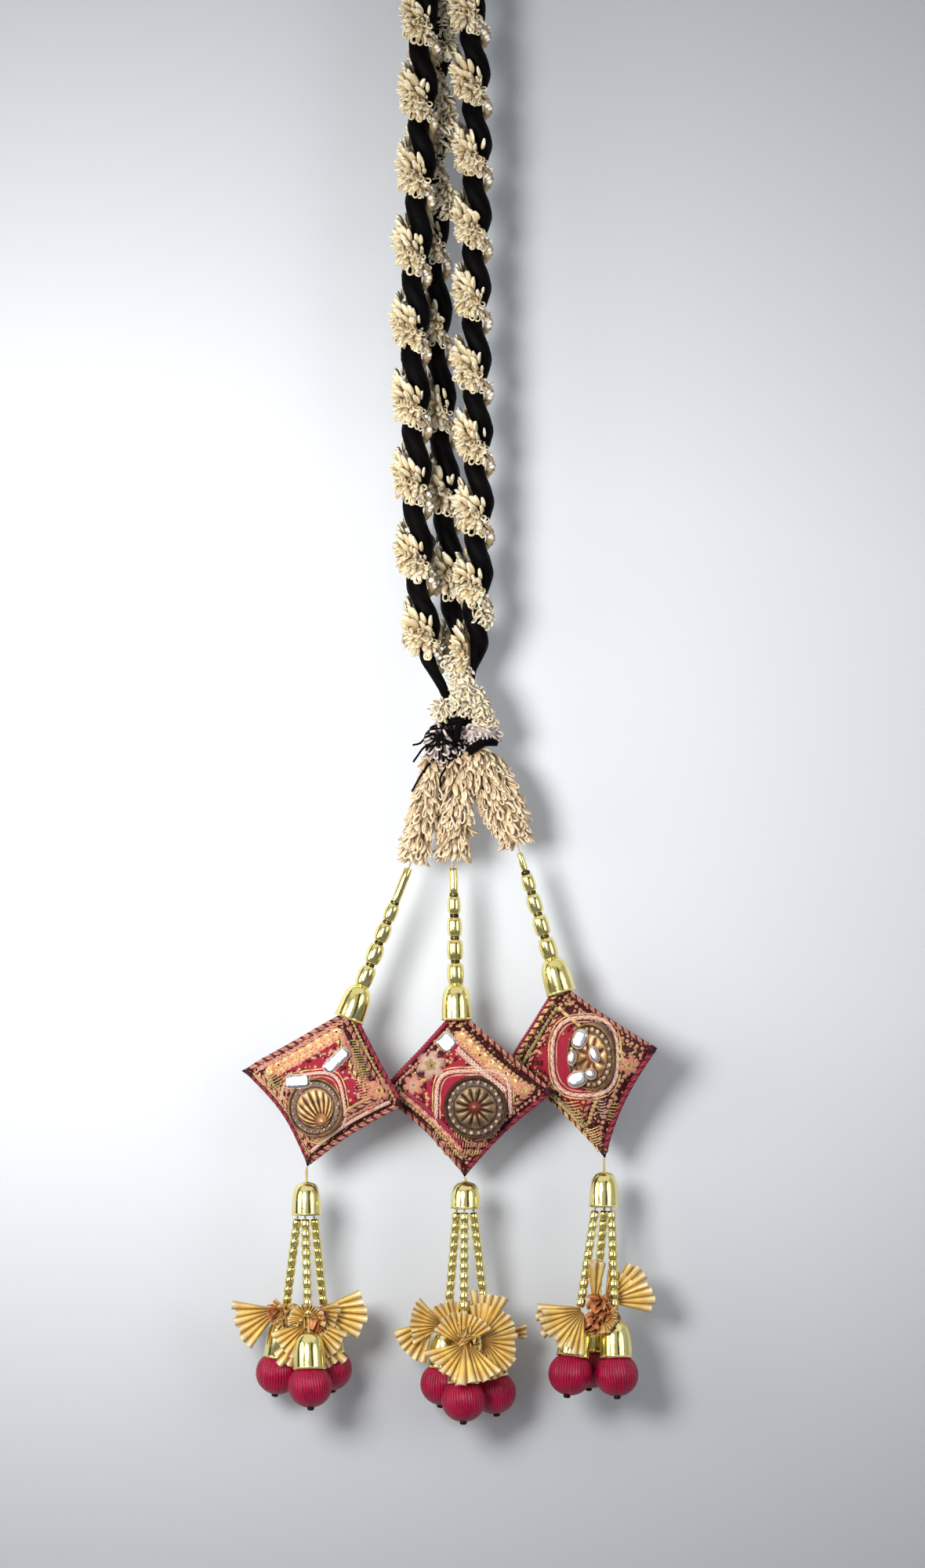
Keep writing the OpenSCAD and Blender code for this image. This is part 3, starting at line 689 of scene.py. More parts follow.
def makeLace(side, seed):
    # Petals and loops at even steps of the winding, each turned and sized a little by chance.
    made = laceMake
    chance = np.random.default_rng(seed)
    pitch = made["windings"][side][0]
    band = pitch * made["share"]
    top, end = made["top"] - band / 2, made["end"] + band / 2

    def steps(perTurn):
        return np.linspace(top, end, int((top - end) / pitch * perTurn))

    parts = []
    towards, lower, upper = made["rosettes"][side]
    cosine, sine = math.cos(math.radians(towards)), math.sin(math.radians(towards))

    def fromSide(out):
        # Degrees past the rosette's side, and that as a share of the rosette's reach.
        across, ahead = out[:, 1] * cosine - out[:, 0] * sine, out[:, 0] * cosine + out[:, 1] * sine
        swung = np.degrees(np.arctan2(across, ahead))
        return swung, np.where(swung > 0, swung / lower, -swung / upper)

    def standing(z, height, off):
        # Points off the cord at a height of the band, with the rosette's own slope.
        middle, out, along = helixAt(side, z)
        swung = fromSide(out)[0]
        start = middle + out * (cordRadius(z) + made["clear"] + off)[:, None]
        start[:, 2] += height * band + swung / 360 * pitch * np.where(swung > 0, *made["squeeze"])
        return start, out, along

    for order, row in enumerate(made["petals"] + made["picots"]):
        height, down, outward, sideways, length, width = row
        z = steps(made["perTurn"])
        z = z + (order % 2 / 2 - 0.25) * pitch / made["perTurn"]
        z = z + chance.uniform(-made["along"], made["along"], len(z))
        near = fromSide(helixAt(side, z)[1])[1]
        keep = near < 1 + chance.uniform(-made["ragged"], made["ragged"], len(z))
        z, near = z[keep], np.minimum(near[keep], 1)
        size = len(z)
        off = made["swell"][side] * (1 - near ** 2) + chance.uniform(*made["off"], size)
        start, out, along = standing(z, height, off)
        aside, below = made["astray"]
        way = out * outward + along * (sideways + chance.normal(0, aside, (size, 1)))
        way[:, 2] -= down + chance.normal(0, below, size)
        axes = rolled(basis(-way, -out), chance.normal(0, made["roll"], size))
        wide, tall = (chance.uniform(*span, size) for span in made["sizes"])
        scales = np.stack([wide, wide, tall], -1)
        scales = scales * (1 - (1 - made["least"]) * near ** 2)[:, None]
        petal = order < len(made["petals"])
        part = petalPart(width, length) if petal else loopPart(width, length, made["wire"])
        # the rosette's heart goes towards the ribbon's darker root: painted shade
        heart = made["heart"][side]
        pale = np.clip(heart + (1 - heart) * near + chance.normal(0, made["tint"], size), *made["tints"])
        parts.append(tinted(placed(part, start, axes, scales), pale))
    for height, radius, first, last in made["bobbles"]:
        z = steps(made["bobblesPerTurn"])
        z = z + chance.uniform(-0.4, 0.4, len(z))
        swung = fromSide(helixAt(side, z)[1])[0]
        z = z[(swung > first) & (swung < last)]
        start, out, _ = standing(z, height, chance.uniform(-1.0, -0.2, len(z)))
        balls = placed(bobblePart(), start, basis(out), radius * chance.uniform(0.8, 1.1, len(z)))
        # the bobbles keep to the paler half of the map: painted light where they turn away from the lamp
        parts.append(remapped(balls, 0.5, 0.5))
    strip = made["strip"]
    z = steps(strip["perTurn"])
    middle, out, _ = helixAt(side, z)
    across = np.linspace(-0.5, 0.5, strip["across"])
    crumple = strip["bulge"]
    for height, wide, tall in strip["waves"]:
        crumple = crumple + height * np.sin(across * wide + z[:, None] * tall)
    low = middle[:, None] + out[:, None] * (cordRadius(z)[:, None, None] + made["clear"] - strip["sunk"])
    least, more = strip["width"]
    wide = least + more * (1 - np.minimum(fromSide(out)[1], 1) ** 2)[:, None]
    rise = np.stack([0 * crumple, 0 * crumple, across * band * wide], -1)
    high = low + rise + out[:, None] * crumple[..., None]
    deep = low + rise - out[:, None] * made["depth"]
    ring = np.concatenate([high, deep[:, ::-1]], 1)
    parts.append(remapped(cappedPart(ring[::-1], ring[-1, 0], ring[0, 0]), 0.25))
    return makePiece(f"picot_lace_{side}", parts, "laceGold", f"lace_{side}")


for number, side in enumerate(sideNames):
    cord = makeCord(side)
    lace = makeLace(side, 11 + number)


# Hanging loop: an eye of rope over a wound binding
loopMake = {"inner": 3.5, "rope": 1.25, "bindingTop": -12.0, "bindingEnd": -27.9, "bindingRadius": 6.4,
            "rounds": 13, "strands": 3, "strandTwist": 6.5}


def makeHangingLoop():
    # Rope: three strands on a helix round the eye's line; binding: a stack of thread rounds.
    made = loopMake
    arch = made["inner"] + made["rope"]
    archZ = -made["inner"]
    a = np.linspace(math.pi, 0, 60)
    legs = np.linspace(made["bindingTop"] - 1, archZ, 30)
    line = np.concatenate([
        np.stack([-arch + 0 * legs, 0 * legs, legs], -1)[:-1],
        np.stack([arch * np.cos(a), 0 * a, archZ + arch * np.sin(a)], -1),
        np.stack([arch + 0 * legs, 0 * legs, legs], -1)[::-1][1:]])
    parts = [twisted(line, made["rope"], made["strands"], made["strandTwist"], 8, hint=(0, 1, 0))]
    steps = made["rounds"] * 8 + 1
    t = np.linspace(0, 1, steps)
    z = made["bindingEnd"] + (made["bindingTop"] - made["bindingEnd"]) * t
    shoulder = np.sqrt(np.clip(1 - ((np.abs(t - 0.5) - 0.4) / 0.1).clip(0) ** 2, 0, 1))
    dip = 0.94 + 0.06 * np.abs(np.sin(math.pi * made["rounds"] * t))
    r = (made["bindingRadius"] - 1.6 * (1 - shoulder)) * dip
    profile = np.concatenate([[[0, z[0]]], np.stack([r, z], -1), [[0, z[-1]]]])
    parts.append(spunPart(profile, 56))
    makePiece("rope_eye", parts, "blackThread", "hanging_loop")


makeHangingLoop()
print("cords, lace and loop ready")


# Knot: cord ends bound with black thread, over two bunches of gota loops with thread crossed round them
knotMake = {
    "bunches": (
        # middle, half sizes, number of loops, black rounds, how far the rounds stand off
        ((-3.4, -2.6, -292.2), (4.8, 5.0, 5.2), 70, 13, 1.6),
        ((8.2, -1.8, -288.9), (5.0, 4.6, 2.2), 56, 0, 1.0),
        ((2.5, 1.6, -291.2), (5.4, 4.6, 4.0), 40, 4, 1.0)),
    "loop": (1.8, 3.2, 0.4), "thread": 0.34,
    # x, lowest and highest z, radius and rounds of the neck, and how far its rounds waver
    "neck": (1.5, -286.3, -280.6, 5.6, 8), "neckThread": 0.6, "waver": 0.15,
    # bunches of lace at the neck: middle and number; they reach this far
    "neckReach": (2.6, 2.2, 2.4),
    "neckLoops": (
        (-3.8, -3.6, -281.4, 44), (7.6, -3.2, -280.6, 46), (9.0, -2.8, -284.6, 40), (2.0, -4.2, -270.6, 36),
        (3.0, -4.2, -275.4, 44), (5.6, -4.0, -277.2, 40), (0.4, -4.2, -266.4, 30), (2.0, 4.4, -281.0, 20),
        (2.4, -5.6, -280.2, 36), (8.4, -5.8, -251.8, 34),
        # lace that shows between the front cords high up, on the middle cord's right
        (-2.8, 6.4, -57.0, 30), (-2.4, 6.6, -63.5, 30), (-3.0, 6.2, -70.0, 26), (-3.4, 6.2, -88.0, 24),
        (-3.0, 6.4, -94.0, 28), (-3.4, 6.2, -100.0, 22), (-3.6, 6.2, -116.0, 22), (-3.2, 6.2, -121.0, 22)),
    "strand": ((2.2, -6.2, -283.0), (1.6, -7.4, -285.8), (0.8, -8.3, -288.5), (0.6, -8.4, -291.2)),
    "band": ((4.4, -7.0, -294.8), (6.8, -7.2, -293.0), (9.6, -6.2, -291.8), (13.2, -2.8, -291.6)),
    "ends": (
        ((-6.0, -6.2, -291.5), (-9.6, -6.0, -293.2), (-12.2, -5.4, -296.6), (-13.2, -5.0, -298.0)),
        ((-6.6, -5.6, -297.0), (-9.4, -5.6, -300.2), (-11.2, -5.2, -303.0), (-13.6, -4.6, -307.4)),
        ((-6.4, -5.6, -289.0), (-9.0, -5.8, -290.0), (-11.0, -5.4, -292.0), (-13.4, -5.0, -292.6)),
        ((-1.6, -6.8, -297.6), (-3.4, -6.6, -300.8), (-4.6, -6.0, -303.2), (-4.4, -5.4, -306.0)))}


def scatteredLoops(middle, halves, count, size, chance, lean=0.55, part=None):
    # Loops, or the part given, on an ellipsoid: each points down along its surface and outwards by the lean.
    directions = spreadPoints(count)
    start = middle + directions * halves
    out = unit(directions / halves)
    down = np.array([0, 0, -1.0]) + out * out[:, 2:]
    way = unit(unit(down + 1e-6) * (1 - lean) + out * lean + chance.normal(0, 0.18, (count, 3)))
    axes = rolled(basis(-way, out + 1e-3), chance.normal(0, 0.6, count))
    width, length, wire = size
    return placed(part or loopPart(width, length, wire), start - 0.25 * length * way, axes,
                  chance.uniform(0.8, 1.15, count))


def crossedRounds(middle, halves, count, radius, off, chance):
    # Great circles of the ellipsoid, about axes that chance leans away from the vertical.
    a = aroundAngles(40)
    axes = basis(unit(chance.normal(0, 1, (count, 3)) * (1, 0.5, 1)))
    circles = np.cos(a)[None, :, None] * axes[:, None, :, 0] + np.sin(a)[None, :, None] * axes[:, None, :, 1]
    return tubePart(middle + circles * (np.array(halves) + off), radius, 6, closed=True, hint=(0.3, 0.5, 0.8))


def makeKnot():
    # Bunches of loops, the black rounds over them, and the black rounds about the neck.
    made = knotMake
    chance = np.random.default_rng(5)
    pale, black, lace = [], [], []
    latitude, longitude = np.linspace(-math.pi / 2, math.pi / 2, 20)[:, None], aroundAngles(32)
    sphere = gridPart(polar(np.cos(latitude), longitude, np.sin(latitude)), wrapColumns=True)
    for middle, halves, loops, rounds, off in made["bunches"]:
        middle, halves = np.array(middle), np.array(halves)
        pale.append(placed(sphere, middle, np.eye(3), [halves]))
        pale.append(scatteredLoops(middle, halves, loops, made["loop"], chance))
        black.append(crossedRounds(middle, halves, rounds, made["thread"], off, chance))
    x, low, high, r, rounds = made["neck"]
    t = np.linspace(0, 1, rounds * 24 + 1)
    height = low + (high - low) * t + made["waver"] * np.sin(turn * 5 * t)
    black.append(tubePart(polar(r, turn * rounds * t, height) + (x, 0, 0), made["neckThread"], 8))
    halves = np.array(made["neckReach"])
    for *at, count in made["neckLoops"]:
        at = np.array(at)
        lace.append(scatteredLoops(at, halves, count // 2, made["loop"], chance, 0.6))
        lace.append(scatteredLoops(at, halves, count, made["loop"], chance, 0.7, petalPart(1.8, 2.8)))
    black.append(twisted(smoothPath(made["strand"], 24), 1.2, 4, 5.0))
    black.append(twisted(smoothPath(made["band"], 24), 1.4, 4, 7.0))
    for line in made["ends"]:
        black.append(tubePart(smoothPath(line, 20), made["thread"], 6))
    makePiece("knot_loops", pale, "knotLoops", "knot_core")
    makePiece("knot_rounds", black, "blackThread", "knot_thread")
    makePiece("knot_lace", lace, "laceGold")


makeKnot()


# Gota tassels: tiers of thin loops hang round a tapered core. Lengths in millimetres.
# taper is how much narrower the lowest loops stand.
gotaMake = {"tiers": 17, "inner": 1.7, "loop": (1.35, 3.7, 0.32), "lean": 0.4, "spacing": 1.6, "within": 1.9,
            "taper": {"left": 0.2, "middle": 0.15, "right": 0.62},
            # chance: the angle, place and direction of a loop, its roll and size, and the tints of petals
            "chance": {"angle": 0.06, "place": 0.35, "way": 0.22, "roll": 0.7, "size": (0.8, 1.15),
                       "tint": (0.45, 1), "shoulderTint": (0.35, 1)},
            # the power of the share of the way down at which the loops stand out
            "opening": {"left": 0.6, "middle": 0.3, "right": 0.25},
            # loops at the top that fill up towards the knot: middle, half sizes and number
            "shoulders": {"left": ((-7.0, -2.6, -299.0), (2.6, 2.4, 2.2), 26),
                          "middle": ((0.4, -2.8, -297.6), (3.6, 2.8, 2.0), 34),
                          "right": ((6.8, -3.0, -296.6), (3.4, 2.8, 2.4), 40)}}


def makeGotaTassel(side, seed):
    # Tier t has its loops at radius inner + (outer - inner) * t^opening, half a step round from the last.
    made = gotaMake
    chance = np.random.default_rng(seed)
    node = f"gota_tassel_{side}"
    points = np.concatenate(islandsOf(node))
    axis = longAxis(points)
    low, high, off = alongAxis(points, axis)
    width, length, wire = made["loop"]
    spread = made["chance"]
    reach = np.linalg.norm(high - low) - length * 0.9
    frameAxes = basis(-axis)
    starts, ways = [], []
    for tier in range(made["tiers"]):
        t = (tier + 0.5) / made["tiers"]
        narrowed = 1 - made["taper"][side] * smoothStep(0.45, 1.0, t)
        r = made["inner"] + (off - made["within"] - made["inner"]) * t ** made["opening"][side] * narrowed
        count = round(turn * r / made["spacing"])
        angle = turn * (np.arange(count) + tier % 2 / 2) / count + chance.normal(0, spread["angle"], count)
        out = frameAxes @ np.stack([np.cos(angle), np.sin(angle), 0 * angle])
        starts.append((high - axis * reach * t + out.T * r) + chance.normal(0, spread["place"], (count, 3)))
        ways.append(unit(out.T * made["lean"] - axis + chance.normal(0, spread["way"], (count, 3))))
    starts, ways = np.concatenate(starts), np.concatenate(ways)
    axes = rolled(basis(-ways, starts - high), chance.normal(0, spread["roll"], len(starts)))
    size = chance.uniform(*spread["size"], len(starts))
    flat = np.arange(len(starts)) % 2 == 0
    loop, petal = loopPart(width, length, wire, 12, 6), petalPart(width * 1.25, length, 0.5, 0.3)
    middle, halves, more = made["shoulders"][side]
    parts = [placed(loop, starts[~flat], axes[~flat], size[~flat])]
    petals = placed(petal, starts[flat], axes[flat], size[flat])
    parts.append(tinted(petals, chance.uniform(*spread["tint"], flat.sum())))
    shoulders = scatteredLoops(np.array(middle), np.array(halves), more, made["loop"], chance, 0.4, petal)
    parts.append(tinted(shoulders, chance.uniform(*spread["shoulderTint"], more)))
    t = np.linspace(0, 1, 12)
    thick = made["inner"] - 0.5 + (off - 3.6 - made["inner"]) * t ** made["opening"][side]
    down = t * (reach + length * 0.1)
    profile = np.concatenate([[[0, 0]], np.stack([thick, down], -1), [[0, down[-1]]]])
    # the core's map stays near the ribbon's root, where it is darker: painted shade inside the tassel
    parts.append(remapped(placed(spunPart(profile, 24), high, frameAxes), 0.12))
    makePiece(f"gota_loops_{side}", parts, "gotaPeach", node)


for number, side in enumerate(sideNames):
    makeGotaTassel(side, 31 + number)
print("knot and gota ready")


# Beads, caps and their threads

def beadPart(length=1.0, bore=0.2, flat=0.6, rows=12, around=20):
    # A barrel of radius 1 and half height length round a bore: r = flat + (1 - flat) (1 - |t|^2.6)^0.5.
    t = np.sin(np.linspace(-math.pi / 2, math.pi / 2, rows))
    r = flat + (1 - flat) * np.sqrt(np.clip(1 - np.abs(t) ** 2.6, 0, 1))
    outside = np.stack([r, length * t], -1)
    inside = np.array([[bore, length], [bore, 0], [bore, -length]])
    return spunPart(np.concatenate([outside, inside]), around, closed=True)


def tubeBeadPart(bore=0.45, around=20):
    # A straight tube of radius 1 and half height 1 with rounded ends.
    outside = np.array([[0.84, -1], [0.96, -0.985], [1, -0.96], [1, -0.5], [1, 0], [1, 0.5], [1, 0.96],
                        [0.96, 0.985], [0.84, 1]])
    inside = np.array([[bore, 1], [bore, 0], [bore, -1]])
    return spunPart(np.concatenate([outside, inside]), around, closed=True)


def bellPart(r, h, topRadius=1.7, wall=0.45, rim=0.32, around=40):
    # r(t) = top + (r - top) (1 - t^4)^0.5 (1 - 0.05 t), with a rolled rim at the mouth and a boss at the top.
    t = np.concatenate([np.linspace(0, 0.1, 7), 1 - np.linspace(0.93, 0, 24) ** 1.4])
    body = topRadius + (r - topRadius) * (1 - t ** 4) ** 0.5 * (1 - 0.05 * t)
    roll = rim * np.exp(-((t * h - rim) / (0.7 * rim)) ** 2)
    outside = np.stack([body - rim * 0.6 + roll, h * t], -1)
    crown = np.array([[topRadius * 0.8, h * 1.02], [topRadius * 0.5, h * 1.03], [0.45, h * 1.03]])
    inside = np.stack([body - rim * 0.6 - wall, (h - wall) * t], -1)[::-1]
    return spunPart(np.concatenate([outside, crown, [[0.45, h - wall]], inside]), around, closed=True)


def capAt(mouth, top, up, width):
    # A bell cap from its mouth to its top.
    return placed(bellPart(width, np.linalg.norm(top - mouth)), mouth, basis(up))


# A solid is a spacer below this half length, and a tube above this share of its radius.
stringMake = {"spacerBelow": 0.7, "tubeAbove": 3}


def makeStrings(side):
    # Beads stand where the frame's loose solids are: as wide, as long and along the thread.
    made = stringMake
    thread = np.concatenate(islandsOf(f"bead_thread_{side}"))
    up = longAxis(thread)
    low, high, _ = alongAxis(thread, up)
    beads, spacers = [], []
    for solid in islandsOf(f"bead_string_{side}"):
        bottom, top, off = alongAxis(solid, up)
        half = np.linalg.norm(top - bottom) / 2
        # each bead is a little longer than its solid, so that it rests on its neighbours
        if half < made["spacerBelow"]:
            row, shape, wide, grow = spacers, beadPart(flat=0.8), 1.1, 1.0
        elif half > made["tubeAbove"] * off:
            row, shape, wide, grow = beads, tubeBeadPart(), 1.3, 1.1
        else:
            row, shape, wide, grow = beads, beadPart(flat=0.66), 1.0, 1.12
        row.append(placed(shape, (top + bottom) / 2, basis(up), [[off * wide, off * wide, half * grow]]))
    makePiece(f"string_beads_{side}", beads, "goldPlate", f"bead_string_{side}", sharp=50)
    makePiece(f"string_spacers_{side}", spacers, "spacerGold", sharp=50)
    line = low + (high - low) * np.linspace(0, 1, 60)[:, None]
    makePiece(f"string_thread_{side}", [twisted(line, 0.42, 2, 1.8, 5)], "goldThread",
              f"bead_thread_{side}")
    mouth, top, off = alongAxis(islandsOf(f"cushion_cap_{side}")[0], up)
    makePiece(f"corner_cap_{side}", [capAt(mouth, top, up, off)], "goldPlate",
              f"cushion_cap_{side}", sharp=40)


for side in sideNames:
    makeStrings(side)
print("bead strings ready")


# Cushions: each is blown up from two sheets that share their rim, then trimmed.
# The sheets' pull and fullness are those of the solid; lengths are in millimetres.
cushionMake = {
    "cells": 44, "half": 8.5, "start": 0.85, "pullTop": 0.03,
    "pullRight": {"left": 0.09, "middle": 0.1, "right": 0.11},
    "pullLeft": {"left": 0.17, "middle": 0.12, "right": 0.1},
    # the cloth, and how far a point may go
    "enlarge": 0.03, "frames": 16, "travel": 2.2,
    "cloth": {"quality": 6, "mass": 0.3, "tension_stiffness": 12, "compression_stiffness": 12,
              "shear_stiffness": 4, "bending_stiffness": 0.4, "use_pressure": True,
              "uniform_pressure_force": 4.0, "vertex_group_mass": "pinned"}}


def cushionCorners(side):
    # The solid's highest, rightmost, lowest and leftmost points.
    points = np.concatenate(islandsOf(f"cushion_{side}"))
    return (points[points[:, 2].argmax()], points[points[:, 0].argmax()],
            points[points[:, 2].argmin()], points[points[:, 0].argmin()])


def blowUp(points, cells, pinned):
    # Blender's cloth under pressure, on a copy enlarged from millimetres; no point goes further than the
    # travel.
    made = cushionMake
    mesh = bpy.data.meshes.new("blown")
    mesh.from_pydata((points * made["enlarge"]).tolist(), [], cells.tolist())
    blown = bpy.data.objects.new("blown", mesh)
    scene.collection.objects.link(blown)
    group = blown.vertex_groups.new(name="pinned")
    group.add([int(k) for k in pinned], 1.0, "REPLACE")
    cloth = blown.modifiers.new("cloth", "CLOTH")
    for name, value in made["cloth"].items():
        setattr(cloth.settings, name, value)
    cloth.settings.effector_weights.gravity = 0
    cloth.collision_settings.use_collision = False
    for number in range(1, made["frames"] + 1):
        scene.frame_set(number)
    settled = blown.evaluated_get(bpy.context.evaluated_depsgraph_get()).to_mesh()
    after = np.zeros(len(points) * 3, np.float32)
    settled.vertices.foreach_get("co", after)
    scene.frame_set(1)
    bpy.data.objects.remove(blown)
    bpy.data.meshes.remove(mesh)
    step = after.reshape(-1, 3) / made["enlarge"] - points
    size = np.linalg.norm(step, axis=1, keepdims=True)
    return points + step * np.minimum(1, made["travel"] / np.maximum(size, 1e-9))


def makeCushion(side):
    # Half thickness = half * ((1 - |u|^3) (1 - |v|^3))^0.5 over sheets whose sides pull in between the
    # corners.
    made = cushionMake
    top, right, bottom, left = cushionCorners(side)
    out = unit(np.cross(right - left, top - bottom))
    n = made["cells"]
    shares = np.linspace(-1, 1, n + 1)
    u, v = np.meshgrid(shares, shares, indexing="ij")
    us = (u * (1 - np.where(u > 0, made["pullRight"][side], made["pullTop"]) * (1 - v * v)))[..., None]
    vs = (v * (1 - np.where(v < 0, made["pullLeft"][side], made["pullTop"]) * (1 - u * u)))[..., None]
    lower = left + (bottom - left) * (1 + us) / 2
    upper = top + (right - top) * (1 + us) / 2
    sheet = lower + (upper - lower) * (1 + vs) / 2
    puff = (made["half"] * np.sqrt((1 - np.abs(u) ** 3) * (1 - np.abs(v) ** 3)))[..., None]
    start = made["start"]
    front, back = sheet + out * puff * start, sheet - out * puff * start
    points, cells, uv = joined([gridPart(front), gridPart(back[::-1])])
    key = np.round(points * 1e4).astype(np.int64)
    _, first, inverse = np.unique(key, axis=0, return_index=True, return_inverse=True)
    inverse = inverse.reshape(-1)
    # the seam stays where it is, and the fullest point comes back to the solid's
    seam = (np.maximum(np.abs(u), np.abs(v)) == 1).ravel()
    points = blowUp(points[first], inverse[cells], np.unique(inverse[np.flatnonzero(seam)]))[inverse]
    lift = ((points - np.concatenate([sheet.reshape(-1, 3), sheet[::-1].reshape(-1, 3)])) @ out)[:, None]
    points = points + out * lift * (made["half"] / lift.max() - 1)
    front = points[:(n + 1) ** 2].reshape(n + 1, n + 1, 3)
    normals = unit(np.cross(np.gradient(front, axis=0), np.gradient(front, axis=1)))
    piece = makePiece(f"brocade_cushion_{side}", [(points, cells, uv)], "brocade",
                      f"cushion_{side}", sharp=75)
    return {"points": front, "normals": normals, "half": np.linalg.norm(top - left) / 2}


def onFront(surface, u, v, lift=0.0):
    # Bilinear between the four grid points round u and v, which run from -1 to 1.
    grid, normals = surface["points"], surface["normals"]
    n = len(grid) - 1
    a, b = (np.clip((np.asarray(w, float) + 1) / 2 * n, 0, n - 1e-6) for w in (u, v))
    i, j = a.astype(int), b.astype(int)
    s, t = (a - i)[..., None], (b - j)[..., None]

    def between(g):
        near = (g[i, j] * (1 - s) + g[i + 1, j] * s) * (1 - t)
        return near + (g[i, j + 1] * (1 - s) + g[i + 1, j + 1] * s) * t

    normal = unit(between(normals))
    return between(grid) + normal * lift, normal


def facing(surface, x, z, lift=0.0):
    # The front seen from before: tangent planes of the six nearest grid points, weighed by 1 / distance^4.
    grid, normals = surface["points"].reshape(-1, 3), surface["normals"].reshape(-1, 3)
    x, z = np.asarray(x, float), np.asarray(z, float)
    gapX, gapZ = x[..., None] - grid[:, 0], z[..., None] - grid[:, 2]
    near = np.argpartition(gapX ** 2 + gapZ ** 2, 6, axis=-1)[..., :6]
    gapX, gapZ = (np.take_along_axis(gap, near, -1) for gap in (gapX, gapZ))
    weight = 1 / (gapX ** 2 + gapZ ** 2 + 1e-3) ** 2
    weight = weight / weight.sum(-1, keepdims=True)
    normal = normals[near]
    fall = normal[..., 0] * gapX + normal[..., 2] * gapZ
    y = ((grid[near, 1] - fall / np.minimum(normal[..., 1], -0.2)) * weight).sum(-1)
    normal = unit((normal * weight[..., None]).sum(-2))
    return np.stack([x, y, z], -1) + normal * lift, normal


def brocadeMaterial():
    # Crimson satin; within a band along the sheet's rim, close work in pink and gold with dark holes.
    material, tree, shader, place, lay = startMaterial("brocade")
    weave = placeGroup(tree, "weaving", {"Place": lay, "Threads": 64.0})
    mark = placeGroup(tree, "handling", {"Place": place, "Scale": 150.0})
    stitch = placeGroup(tree, "threadLay", {"Place": lay, "Lines": 60.0, "Slant": 50.0, "Fibres": 12.0})
    cells = addNode(tree, "ShaderNodeTexVoronoi", {"Vector": lay, "Scale": 34.0, "Randomness": 0.7})
    pick = addNode(tree, "ShaderNodeSeparateColor", {0: cells.outputs["Color"]}).outputs[0]
    ramp = addNode(tree, "ShaderNodeValToRGB", {0: pick})
    stops = ((0.0, (96, 22, 34)), (0.3, (212, 160, 96)), (0.5, (222, 140, 118)),
             (0.66, (132, 20, 44)), (0.8, (176, 136, 72)), (0.92, (236, 206, 158)))
    ramp.color_ramp.interpolation = "CONSTANT"
    while len(ramp.color_ramp.elements) < len(stops):
        ramp.color_ramp.elements.new(0.5)
    for element, (position, colour) in zip(ramp.color_ramp.elements, stops):
        element.position = position
        element.color = linear(*colour)
    hole = ramped(tree, cells.outputs["Distance"], 0.26, 0.44)
    work = mixed(tree, hole, ramp.outputs[0], linear(58, 12, 20))
    axes = addNode(tree, "ShaderNodeSeparateXYZ", {0: lay}).outputs
    edges = [sums(tree, "ABSOLUTE", sums(tree, "SUBTRACT", axes[name], 0.5)) for name in "XY"]
    rim = weighed(tree, sums(tree, "MAXIMUM", *edges), mark["Patch"], 0.05)
    # The ground darkens where the stitches dip, and the shade below darkens the colour there too: painted
    # shade between stitches.
    ground = mixed(tree, ramped(tree, stitch["Height"], 0.1, 1.0), linear(112, 8, 30), linear(178, 18, 54))
    colour = mixed(tree, ramped(tree, rim, 0.325, 0.335), ground, work)
    shade = sums(tree, "MULTIPLY", ramped(tree, stitch["Height"], -0.5, 0.9),
                 weighed(tree, 0.65, mark["Patch"], 0.35))
    fill(tree, shader, {
        "Base Color": mixed(tree, shade, mixed(tree, 0.6, colour, linear(70, 8, 20)), colour),
        "Roughness": weighed(tree, 0.42, mark["Speck"], 0.25), "Specular IOR Level": 0.25})
    bumped(tree, shader, weighed(tree, stitch["Height"], weave["Height"], 0.3), 0.14)
    return material


finish["brocade"] = brocadeMaterial()

